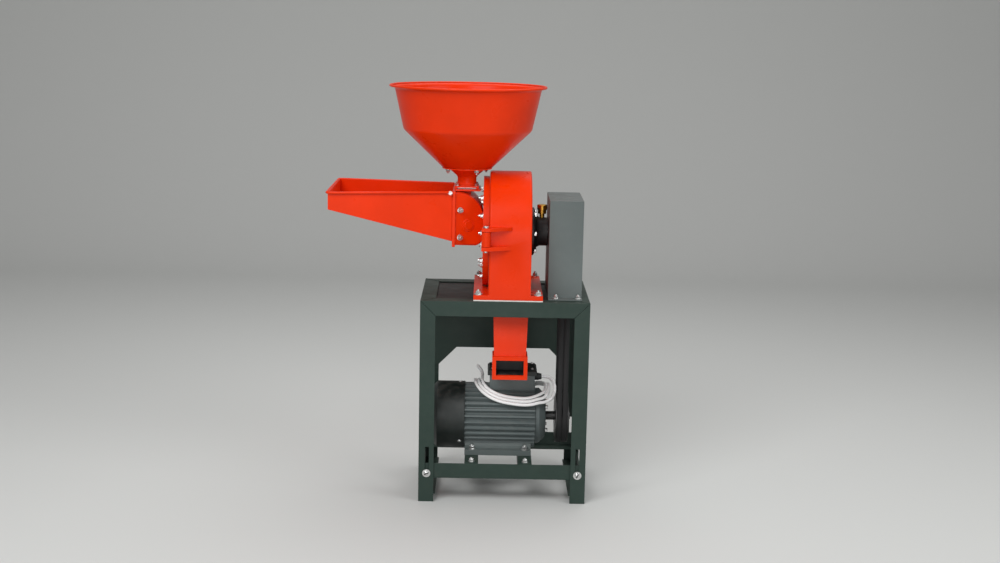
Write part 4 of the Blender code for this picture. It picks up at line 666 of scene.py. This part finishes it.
ENDS = ("front", "rear")
SIDES = ("left", "right")
STAND_ANGLES = ([f"leg_{end}_{side}" for end in ENDS for side in SIDES]
                + [f"top_rail_{side}" for side in ENDS + SIDES] + [f"side_rail_{side}" for side in SIDES])
DECK_ANGLES = [f"lower_rail_{end}" for end in ENDS] + [f"motor_bar_{side}" for side in SIDES]
# CAD nodes that show: a finish, the share of the edge round that they have, and the nodes
DRESSED = (
    ("mill_red", 0.8, ("discharge_spout", "hopper_neck")),
    ("mill_red", 1.5, ("door_cover",)),
    ("mill_red", 0.6, ("feed_tray",)),
    ("stand_green", 1.0, STAND_ANGLES + DECK_ANGLES),
    ("stand_green", 0.6, ("rear_panel",)),
    ("deck_dark", 0.6, ("deck_plate",)),
    ("guard_grey", 0.8, ("belt_guard",)),
    ("motor_grey", 0.5, ("motor_body",)),
    ("motor_grey", 1.5, ("drive_end_shield", "terminal_box")),
    ("shroud_dark", 1.0, ("fan_cover",)),
    ("shroud_dark", 1.5, ("terminal_box_lid",)),
    ("fan_plastic", 0.5, ("cable_gland",)),
    ("bearing_black", 1.2, ("bearing_housing",)),
    ("bare_steel", 0.4, ("latch_bolt", "latch_pivot")),
    ("bare_steel", 1.0, ("latch_nut",)),
    ("bare_steel", 0.6, ("hinge_pin",)),
    ("bare_steel", 0.5, ("feed_gate",)),
    ("dark_iron", 0.5, ("mill_pulley", "motor_pulley")),
    ("brass", 0.4, ("grease_cup",)),
    ("brass", 0.6, ("grease_cap",)),
    ("gasket_white", 0.4, ("base_gasket",)),
)
# CAD nodes that the other pieces cover, which stay as they are under their finish
COVERED = {
    "bare_steel": ("screen_ring", "shaft_bearing_1", "shaft_bearing_2", "main_shaft", "rotor_plate_left",
                   "rotor_plate_right"),
    "dark_iron": ("hammer_1", "hammer_2", "hammer_3", "hammer_4", "motor_shaft"),
    "fan_plastic": ("cooling_fan",),
}
# CAD nodes that a piece below makes anew
REMADE = {
    "mill_red": ("hopper", "feed_head"),
    "belt_rubber": ("v_belt_1", "v_belt_2"),
    "cord_white": ("cord_lead", "cord_coil", "cord_tail"),
}


def body_of(node):
    """The body that a CAD node rides on."""
    return next(name for name, nodes in frame["record"]["behaviour"]["bodies"].items() if node in nodes)


def dress(node, finish, edge):
    """Set a CAD node's own shape in its place as a smooth piece with rounded edges."""
    shape = bmesh.new()
    shape.from_mesh(frame["nodes"][node].data)
    bmesh.ops.remove_doubles(shape, verts=shape.verts, dist=0.00001)
    bmesh.ops.dissolve_limit(shape, angle_limit=math.radians(0.6), verts=shape.verts, edges=shape.edges)
    piece = add_piece(node + "_skin", shape, finish, body_of(node))
    modifier = round_edges(piece, edge)
    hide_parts(node)
    return piece.data, modifier


class MILL_OT_finishes(bpy.types.Operator):
    """Give every CAD node its finish, and round the edges of those that show"""
    bl_idname = "mill.finishes"
    bl_label = "Finishes"

    def execute(self, context):
        edge = context.scene.mill_sizes.edge
        for finish, share, nodes in DRESSED:
            for node in nodes:
                dress(node, finish, edge * share)
        for finish, nodes in (*COVERED.items(), *REMADE.items()):
            for node in nodes:
                slots = frame["nodes"][node].data.materials
                slots.clear()
                slots.append(bpy.data.materials[finish + "_finish"])
        return {"FINISHED"}


class MILL_OT_hopper(bpy.types.Operator):
    """Spin the sheet hopper with its pressed bends and rolled rim"""
    bl_idname = "mill.hopper"
    bl_label = "Hopper"

    def execute(self, context):
        bead = context.scene.mill_sizes.rim_bead
        low = HOPPER_BOTTOM
        bore = 0.036
        sheet = 0.002
        outer = [(bore, low), (0.064, low), (0.0675, low + 0.0012), (0.1665, 0.9672), (0.1695, 0.9715),
                 (0.1708, 0.9760), (0.1922, 1.0735), (0.1936, 1.0772), (0.1970, 1.0792), (0.2040, 1.0806)]
        roll = arc(HOPPER_RIM_RADIUS - bead, HOPPER_TOP - bead, bead, -120, 300, 8)
        inner = [(0.2030, 1.0826), (0.1962, 1.0812), (0.1920, 1.0788), (0.1902, 1.0742), (0.1688, 0.9766),
                 (0.1675, 0.9726), (0.1648, 0.9688), (0.0660, low + 0.0030), (0.062, low + sheet),
                 (bore, low + sheet), (bore, low)]
        shape = bmesh.new()
        spun(shape, outer + roll + inner, 128)
        hopper = add_piece("hopper_sheet", shape, "mill_red", "door", 40.0)
        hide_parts("hopper")
        return {"FINISHED"}


class MILL_OT_tray_rim(bpy.types.Operator):
    """Roll the rim of the feed tray round a wire on its three free sides"""
    bl_idname = "mill.tray_rim"
    bl_label = "Tray rim"

    def execute(self, context):
        bead = context.scene.mill_sizes.rim_bead
        top = TRAY_TOP - bead * 0.5
        half_out = 0.160 + bead
        half_in = 0.101 + bead
        left = -0.459 - bead
        right = -0.1425
        corner = 0.010
        cut = 0.003
        half = [(right, half_in), (left + corner, half_out), (left + cut, half_out - cut),
                (left, half_out - corner)]
        front = [place(x, -y, top) for x, y in half]
        rear = [place(x, y, top) for x, y in reversed(half)]
        shape = bmesh.new()
        add_tube(shape, front + rear, bead, 12)
        add_piece("tray_rim", shape, "mill_red", "door")
        return {"FINISHED"}


def belt_shape(middle):
    """One V belt with rounded shoulders, round both pulleys."""
    lean = math.asin((MOTOR_PULLEY_RADIUS - MILL_PULLEY_RADIUS) / (MILL_AXIS - MOTOR_AXIS))
    rear = Vector((0, math.cos(lean), math.sin(lean)))
    front = Vector((0, -math.cos(lean), math.sin(lean)))
    half_top = 0.0065
    half_foot = 0.0046
    right_side = [(half_top - 0.0008, 0), (half_top, -0.0008), (half_top, -0.0018),
                  (half_foot + 0.0002, -0.0075), (half_foot - 0.0005, -0.008)]
    left_side = [(-x, lift) for x, lift in reversed(right_side)]
    section = left_side[-1:] + right_side + left_side[:-1]
    mill = place(0, 0, MILL_AXIS)
    motor = place(0, 0, MOTOR_AXIS)
    runs = 24
    shape = bmesh.new()

    def wrapped(geometry, centre, angle):
        last = bmesh.ops.spin(shape, geom=geometry, cent=centre, axis=RIGHT, angle=angle, steps=48,
                              use_merge=False)["geom_last"]
        return [item for item in last if isinstance(item, bmesh.types.BMEdge)]

    points = [shape.verts.new(mill + rear * (MILL_PULLEY_RADIUS + lift) + Vector((middle + x, 0, 0)))
              for x, lift in section]
    edges = [shape.edges.new(pair) for pair in zip(points, points[1:] + points[:1])]
    ends = wrapped(points + edges, mill, math.pi - 2 * lean)
    fall = motor + front * MOTOR_PULLEY_RADIUS - mill - front * MILL_PULLEY_RADIUS
    for step in range(runs):
        moved, ends = grown_on(shape, ends, fall / runs)
    ends = wrapped(moved + ends, motor, math.pi + 2 * lean)
    rise = rear * MILL_PULLEY_RADIUS + mill - motor - rear * MOTOR_PULLEY_RADIUS
    for step in range(runs - 1):
        moved, ends = grown_on(shape, ends, rise / runs)
    bmesh.ops.bridge_loops(shape, edges=ends + edges)
    return shape


class MILL_OT_belts(bpy.types.Operator):
    """Run the two V belts round their pulleys"""
    bl_idname = "mill.belts"
    bl_label = "V belts"

    def execute(self, context):
        for number, side in ((1, -1), (2, 1)):
            shape = belt_shape(BELT_MIDDLE + side * 0.0075)
            belt = set_mesh(f"drive_belt_{number}", shape, "belt_rubber", 50.0)
            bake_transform(belt)
            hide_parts(f"v_belt_{number}")
        return {"FINISHED"}


def add_plate(shape, outline, low, high, lay):
    """Add a plate from a flat outline; lay turns each outline point and its height into a place."""
    under = [shape.verts.new(lay(first, second, low)) for first, second in outline]
    over = [shape.verts.new(lay(first, second, high)) for first, second in outline]
    count = len(outline)
    shape.faces.new(under)
    shape.faces.new(over)
    for index in range(count):
        after = (index + 1) % count
        shape.faces.new((under[index], under[after], over[after], over[index]))


def facing_left(y, z, x):
    """Lay an outline of Y and Z flat across the machine, at a place along X."""
    return place(x, y, z)


class MILL_OT_housing(bpy.types.Operator):
    """Give the housing the wide rounds of a casting along its arch, and fine ones on lugs and base"""
    bl_idname = "mill.housing"
    bl_label = "Housing"

    def execute(self, context):
        arch_round = 0.0048
        fine_share = 0.16
        mesh, modifier = dress("mill_housing", "mill_red", arch_round)
        modifier.limit_method = "WEIGHT"
        modifier.use_clamp_overlap = False
        modifier.segments = 3
        weights = mesh.attributes.new("bevel_weight_edge", "FLOAT", "EDGE")
        for edge in mesh.edges:
            if not edge.use_edge_sharp:
                continue
            ends = [mesh.vertices[index].co - place(0, 0, MILL_AXIS) for index in edge.vertices]
            faces = all(min(abs(end.x - HOUSING_LEFT), abs(end.x - HOUSING_RIGHT)) < 0.0005 for end in ends)
            arch = all(abs(math.hypot(end.y, max(end.z, 0)) - HOUSING_RADIUS) < 0.003 for end in ends)
            weights.data[edge.index].value = 1.0 if faces and arch else fine_share
        return {"FINISHED"}


class MILL_OT_mill_bolts(bpy.types.Operator):
    """Bolt the mill, its bearing and its belt guard down"""
    bl_idname = "mill.mill_bolts"
    bl_label = "Mill bolts"

    def execute(self, context):
        across = context.scene.mill_sizes.bolt
        bearing_ring = 0.054
        shape = bmesh.new()
        for side in (-1, 1):
            for x in (-0.0705, 0.0850):
                add_bolt(shape, place(x, side * 0.1475, 0.5556), UP, across, 1.7, 0.004)
            for x in (0.1320, 0.1900):
                add_bolt(shape, place(x, side * 0.1180, 0.5433), UP, across * 0.85, 1.7, 0.003)
        for y, z in arc(0, MILL_AXIS, bearing_ring, 60, -300, 5):
            add_bolt(shape, place(0.0733, y, z), RIGHT, across * 0.8, 1.5)
        add_piece("mill_bolts", shape, "bare_steel", "frame", 30.0)
        return {"FINISHED"}


class MILL_OT_door_bolts(bpy.types.Operator):
    """Bolt the door's rim on both sides, and the hopper to its neck"""
    bl_idname = "mill.door_bolts"
    bl_label = "Door bolts"

    def execute(self, context):
        across = context.scene.mill_sizes.bolt * 0.85
        door_ring = 0.1365
        neck_ring = 0.0560
        shape = bmesh.new()
        for rise in (0.0985, 0.0560, 0.0125, -0.0610, -0.1080):
            reach = math.sqrt(door_ring ** 2 - rise ** 2)
            for side in (-1, 1):
                add_bolt(shape, place(-0.0613, side * reach, MILL_AXIS + rise), LEFT, across, 1.6, 0.004)
        for x, y in arc(HOPPER_X, 0, neck_ring, -153, 270, 3):
            add_bolt(shape, place(x, y, 0.8680), DOWN, across, 1.5, 0.004)
        add_piece("door_bolts", shape, "bare_steel", "door", 30.0)
        return {"FINISHED"}


def feed_half(x):
    """Half of the feed head's width, which narrows towards the door."""
    return FEED_HALF_LEFT - (x - FEED_LEFT) * FEED_SLOPE


def feed_outline():
    """The feed head's side: a round back over a small round, and a straight front."""
    back = arc(-0.1310, 0.7420, 0.0694, 90, -90, 24) + arc(-0.0856, 0.6985, 0.0240, 0, -80, 8)
    return [(FEED_LEFT, 0.8114)] + back + [(FEED_LEFT, 0.6790)]


def add_feed_wrap(shape, outline):
    """Wrap sheet round the feed head's back, above and below the hole into the door."""
    hole_start, hole_end = 22, 29
    sheet = 0.003
    inset = 0.001
    wrap = []
    for strip in (outline[:hole_start], outline[hole_end:]):
        rows = []
        for x, z in strip:
            half = feed_half(x) - inset
            rows.append([shape.verts.new(place(x, -half, z)), shape.verts.new(place(x, half, z))])
        wrap += [shape.faces.new((a[0], a[1], b[1], b[0])) for a, b in zip(rows, rows[1:])]
    bmesh.ops.recalc_face_normals(shape, faces=wrap)
    bmesh.ops.solidify(shape, geom=wrap, thickness=sheet)


class MILL_OT_feed_head(bpy.types.Operator):
    """Form the round-backed feed head: two cheeks, a wrapped sheet, a flange and plain bosses"""
    bl_idname = "mill.feed_head"
    bl_label = "Feed head"

    def execute(self, context):
        across = context.scene.mill_sizes.bolt
        outline = feed_outline()
        cheek = 0.0012
        flange_left = -0.1420
        flange_low = 0.6720
        red = bmesh.new()
        steel = bmesh.new()
        add_feed_wrap(red, outline)
        for side in (-1, 1):
            way = Vector((FEED_SLOPE, side, 0)).normalized()

            def lay(x, z, height, side=side, way=way):
                return place(x, side * feed_half(x), z) + way * height

            add_plate(red, outline, -0.003, cheek, lay)
            boss = aimed(lay(-0.1010, 0.7270, cheek), way)
            add_round(red, boss, 0.0170, 0.0162, -0.002, 0.002, 48)
            add_round(red, boss, 0.0118, 0.0108, -0.004, 0.004, 48)
            for z in (0.7670, 0.6960):
                add_bolt(steel, lay(-0.1225, z, cheek), way, across * 0.95, 1.3, 0.003)
            add_block(red, place(flange_left, side * 0.084, flange_low),
                      place(FEED_LEFT, side * 0.104, TRAY_TOP))
        for low, high in ((flange_low, 0.6880), (0.7990, TRAY_TOP)):
            add_block(red, place(flange_left, -0.0845, low), place(FEED_LEFT, 0.0845, high))
        head = add_piece("feed_head_casting", red, "mill_red", "door", 30.0)
        round_edges(head, 0.0010)
        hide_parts("feed_head")
        add_piece("feed_head_bolts", steel, "bare_steel", "door", 30.0)
        throat = bmesh.new()
        add_block(throat, place(-0.1335, -0.0300, 0.7900), place(-0.0950, 0.0300, 0.8163))
        add_block(throat, place(FEED_LEFT, -0.0560, 0.8130), place(-0.0700, 0.0560, 0.8163))
        pad = add_piece("feed_head_throat", throat, "mill_red", "door", 30.0)
        round_edges(pad, 0.0010)
        return {"FINISHED"}


class MILL_OT_spout_painted_shade(bpy.types.Operator):
    """Fill the spout's mouth with dark plates as painted shade for its deep, unlit inside"""
    bl_idname = "mill.spout_lining"
    bl_label = "Spout lining"

    def execute(self, context):
        shape = bmesh.new()
        middle = 0.0155
        half = 0.0360
        front = -0.1280
        back = -0.0708
        low = 0.3386
        # Painted shade: a black back plate, a floor sheet and two side strips darken the mouth where the
        # chute lies in shadow
        add_block(shape, place(middle - half, -0.0712, low), place(middle + half, back, 0.4300))
        add_block(shape, place(middle - 0.0361, front, 0.3383), place(middle + 0.0361, back, 0.3387))
        for side in (-1, 1):
            edge = middle + side * half
            add_block(shape, place(edge - 0.0002, front, low), place(edge + 0.0002, back, 0.3780))
        # The bearing's black enamel here is painted shade, not a lining, dust or bare iron
        add_piece("spout_lining", shape, "bearing_black", "frame")
        return {"FINISHED"}


class MILL_OT_motor_foot(bpy.types.Operator):
    """Stand the motor on its webbed foot"""
    bl_idname = "mill.motor_foot"
    bl_label = "Motor foot"

    def execute(self, context):
        shape = bmesh.new()
        web = [(-0.0870, 0.1202), (-0.0700, 0.1215), (-0.0640, 0.1260), (-0.0600, 0.1420)]
        outline = web + [(-y, z) for y, z in reversed(web)] + [(0.0870, 0.1198), (-0.0870, 0.1198)]
        add_plate(shape, outline, -0.1003, 0.0773, facing_left)
        for side in (-1, 1):
            add_block(shape, place(-0.1005, side * 0.0868, 0.1062), place(0.0775, side * 0.0884, 0.1202))
        foot = add_piece("motor_foot", shape, "guard_grey", "motor_deck", 30.0)
        round_edges(foot, 0.0006)
        return {"FINISHED"}


class MILL_OT_deck_bolts(bpy.types.Operator):
    """Bolt the motor to its bars, the bars to their rails and the rails to the slotted legs"""
    bl_idname = "mill.deck_bolts"
    bl_label = "Motor deck bolts"

    def execute(self, context):
        across = context.scene.mill_sizes.bolt
        cover_radius = 0.0903
        slot_shade_size = Matrix.Diagonal((0.0120, 0.0030, 0.0016, 1))
        shape = bmesh.new()
        slots = bmesh.new()
        for side in (-1, 1):
            outward = Vector((0, side, 0))
            for x in (-0.0815, 0.0605):
                add_bolt(shape, place(x, side * 0.0765, 0.1200), UP, across, 1.6, 0.004)
                add_bolt(shape, place(x, side * 0.1440, 0.1057), UP, across * 0.9, 1.5, 0.003)
            for x, tilt in ((-0.199, 25), (0.199, 62)):
                head = place(x, side * 0.1652, 0.0780)
                add_pan_screw(shape, head, outward, across * 1.10)
                # Painted shade: a dark iron bar across each pan screw's head stands in for the shaded
                # recess of its slot
                bar = aimed(head + outward * 0.0058, outward) @ Matrix.Rotation(math.radians(tilt), 4, "Z")
                bmesh.ops.create_cube(slots, size=1, matrix=bar @ slot_shade_size)
        for turn in (-128, 0, 128):
            way = Vector((0, math.sin(math.radians(turn)), math.cos(math.radians(turn))))
            add_pan_screw(shape, place(-0.1150, 0, MOTOR_AXIS) + way * cover_radius, way, 0.0065)
        add_piece("deck_bolts", shape, "bare_steel", "motor_deck", 30.0)
        add_piece("deck_bolt_slots", slots, "dark_iron", "motor_deck", 30.0)
        return {"FINISHED"}


class MILL_OT_neck(bpy.types.Operator):
    """Slip a wider sheet sleeve with a flared top over the hopper's neck"""
    bl_idname = "mill.neck"
    bl_label = "Neck sleeve"

    def execute(self, context):
        profile = [(0.0215, 0.8240), (0.0290, 0.8240), (0.0290, 0.8262), (0.0256, 0.8275), (0.0250, 0.8300),
                   (0.0250, 0.8440), (0.0275, 0.8490), (0.0470, 0.8655), (0.0560, 0.8678), (0.0215, 0.8678)]
        shape = bmesh.new()
        spun(shape, profile + profile[:1], 64)
        add_piece("neck_sleeve", shape, "mill_red", "door", 30.0)
        return {"FINISHED"}


class MILL_OT_welds(bpy.types.Operator):
    """Run weld beads where the stand's angles meet"""
    bl_idname = "mill.welds"
    bl_label = "Welds"

    def execute(self, context):
        bead = context.scene.mill_sizes.weld
        reach = 0.0385
        ripple = 0.0003
        steps = 12
        shape = bmesh.new()
        for x in (-1, 1):
            for y in (-1, 1):
                mitre = []
                for step in range(steps + 1):
                    back = reach * step / steps
                    z = 0.5394 + ripple * (step % 2)
                    mitre.append(place(x * (0.2185 - back), y * (0.1635 - back), z))
                add_tube(shape, mitre, bead * 0.6, 8)
        add_piece("stand_welds", shape, "stand_green", "frame")
        return {"FINISHED"}


class MILL_OT_corner_plates(bpy.types.Operator):
    """Close the corners of the housing below the round door"""
    bl_idname = "mill.corner_plates"
    bl_label = "Corner plates"

    def execute(self, context):
        radius = 0.1468
        wall = 0.1503
        low = 0.5554
        half = [(wall, low), (wall, 0.6600)] + arc(0, MILL_AXIS, radius, -16.8, -69.2, 24) + [(0.0103, low)]
        shape = bmesh.new()
        for side in (-1, 1):
            outline = [(side * y, z) for y, z in half]
            add_plate(shape, outline, -0.0448, -0.0410, facing_left)
        add_piece("corner_plates", shape, "mill_red", "frame")
        return {"FINISHED"}


class MILL_OT_motor_details(bpy.types.Operator):
    """Fit the motor's end screws, lid screws, pressed rings, fan grille and pulley hub"""
    bl_idname = "mill.motor_details"
    bl_label = "Motor details"

    def execute(self, context):
        steel = bmesh.new()
        for y, z in arc(0, MOTOR_AXIS, 0.0455, 45, 270, 3):
            add_bolt(steel, place(0.1163, y, z), RIGHT, 0.0085, 1.4)
        for x in (-0.0290, 0.0780):
            for y in (-0.0330, 0.0330):
                add_pan_screw(steel, place(x, y, 0.3330), UP, 0.0065)
        add_piece("motor_screws", steel, "bare_steel", "motor_deck", 30.0)
        dark = bmesh.new()
        grille = 0.0245
        for radius, thick in ((0.0085, 0.0013), (0.0165, 0.0013), (grille, 0.0016), (0.0400, 0.0015),
                              (0.0530, 0.0015), (0.0660, 0.0015)):
            ring = [place(FAN_FACE, y, z) for y, z in arc(0, MOTOR_AXIS, radius, 0, 352.5, 47)]
            add_tube(dark, ring, thick, 8, closed=True)
        for turn in (15, 75, 135):
            spoke = [place(FAN_FACE, y, z) for y, z in arc(0, MOTOR_AXIS, grille, turn + 180, -180, 1)]
            add_tube(dark, spoke, 0.0013, 8)
        add_piece("fan_grille", dark, "shroud_dark", "motor_deck")
        hub = bmesh.new()
        axle = aimed(place(0, 0, MOTOR_AXIS), RIGHT)
        add_round(hub, axle, 0.0260, 0.0240, 0.1770, 0.1815, 48)
        add_round(hub, axle, 0.0090, 0.0085, 0.1815, 0.1845, 48)
        add_piece("motor_pulley_hub", hub, "dark_iron", "motor_rotor", 30.0)
        return {"FINISHED"}


class MILL_OT_feed_bolts(bpy.types.Operator):
    """Bolt the tray to the feed head and the neck's flange to the gate"""
    bl_idname = "mill.feed_bolts"
    bl_label = "Feed bolts"

    def execute(self, context):
        across = 0.0080
        shape = bmesh.new()
        for side in (-1, 1):
            add_bolt(shape, place(-0.1475, side * 0.1072, 0.8135), (0, side, 0), across, 1.3, 0.002)
            for x in (-0.0255, 0.0255):
                add_bolt(shape, place(HOPPER_X + x, side * 0.0255, 0.8236), UP, across, 1.3)
        add_piece("feed_bolts", shape, "bare_steel", "door", 30.0)
        return {"FINISHED"}


class MILL_PT_panel(bpy.types.Panel):
    """The mill's pieces, colours and sizes in the sidebar"""
    bl_label = "Hammer mill"
    bl_idname = "MILL_PT_panel"
    bl_space_type = "VIEW_3D"
    bl_region_type = "UI"
    bl_category = "Mill"

    def draw(self, context):
        layout = self.layout
        for operator in OPERATORS:
            layout.operator(operator.bl_idname)
        for group in (context.scene.mill_colours, context.scene.mill_sizes):
            for name in group.__annotations__:
                layout.prop(group, name)


OPERATORS = (MILL_OT_stage, MILL_OT_cord, MILL_OT_finishes, MILL_OT_hopper, MILL_OT_tray_rim,
             MILL_OT_belts, MILL_OT_housing, MILL_OT_mill_bolts, MILL_OT_door_bolts,
             MILL_OT_feed_head, MILL_OT_spout_painted_shade, MILL_OT_motor_foot, MILL_OT_deck_bolts,
             MILL_OT_neck, MILL_OT_welds, MILL_OT_corner_plates, MILL_OT_motor_details,
             MILL_OT_feed_bolts)
CLASSES = (MillColours, MillSizes, *OPERATORS, MILL_PT_panel)


def register():
    """Make the classes and their settings known to Blender."""
    for item in CLASSES:
        bpy.utils.register_class(item)
    bpy.types.Scene.mill_colours = bpy.props.PointerProperty(type=MillColours)
    bpy.types.Scene.mill_sizes = bpy.props.PointerProperty(type=MillSizes)


def unregister():
    """Take the classes and their settings away again."""
    del bpy.types.Scene.mill_sizes
    del bpy.types.Scene.mill_colours
    for item in reversed(CLASSES):
        bpy.utils.unregister_class(item)


def main():
    """Make the finishes, then every piece in order."""
    register()
    make_finishes()
    for operator in OPERATORS:
        group, name = operator.bl_idname.split(".")
        getattr(getattr(bpy.ops, group), name)()


if __name__ == "__main__":
    main()
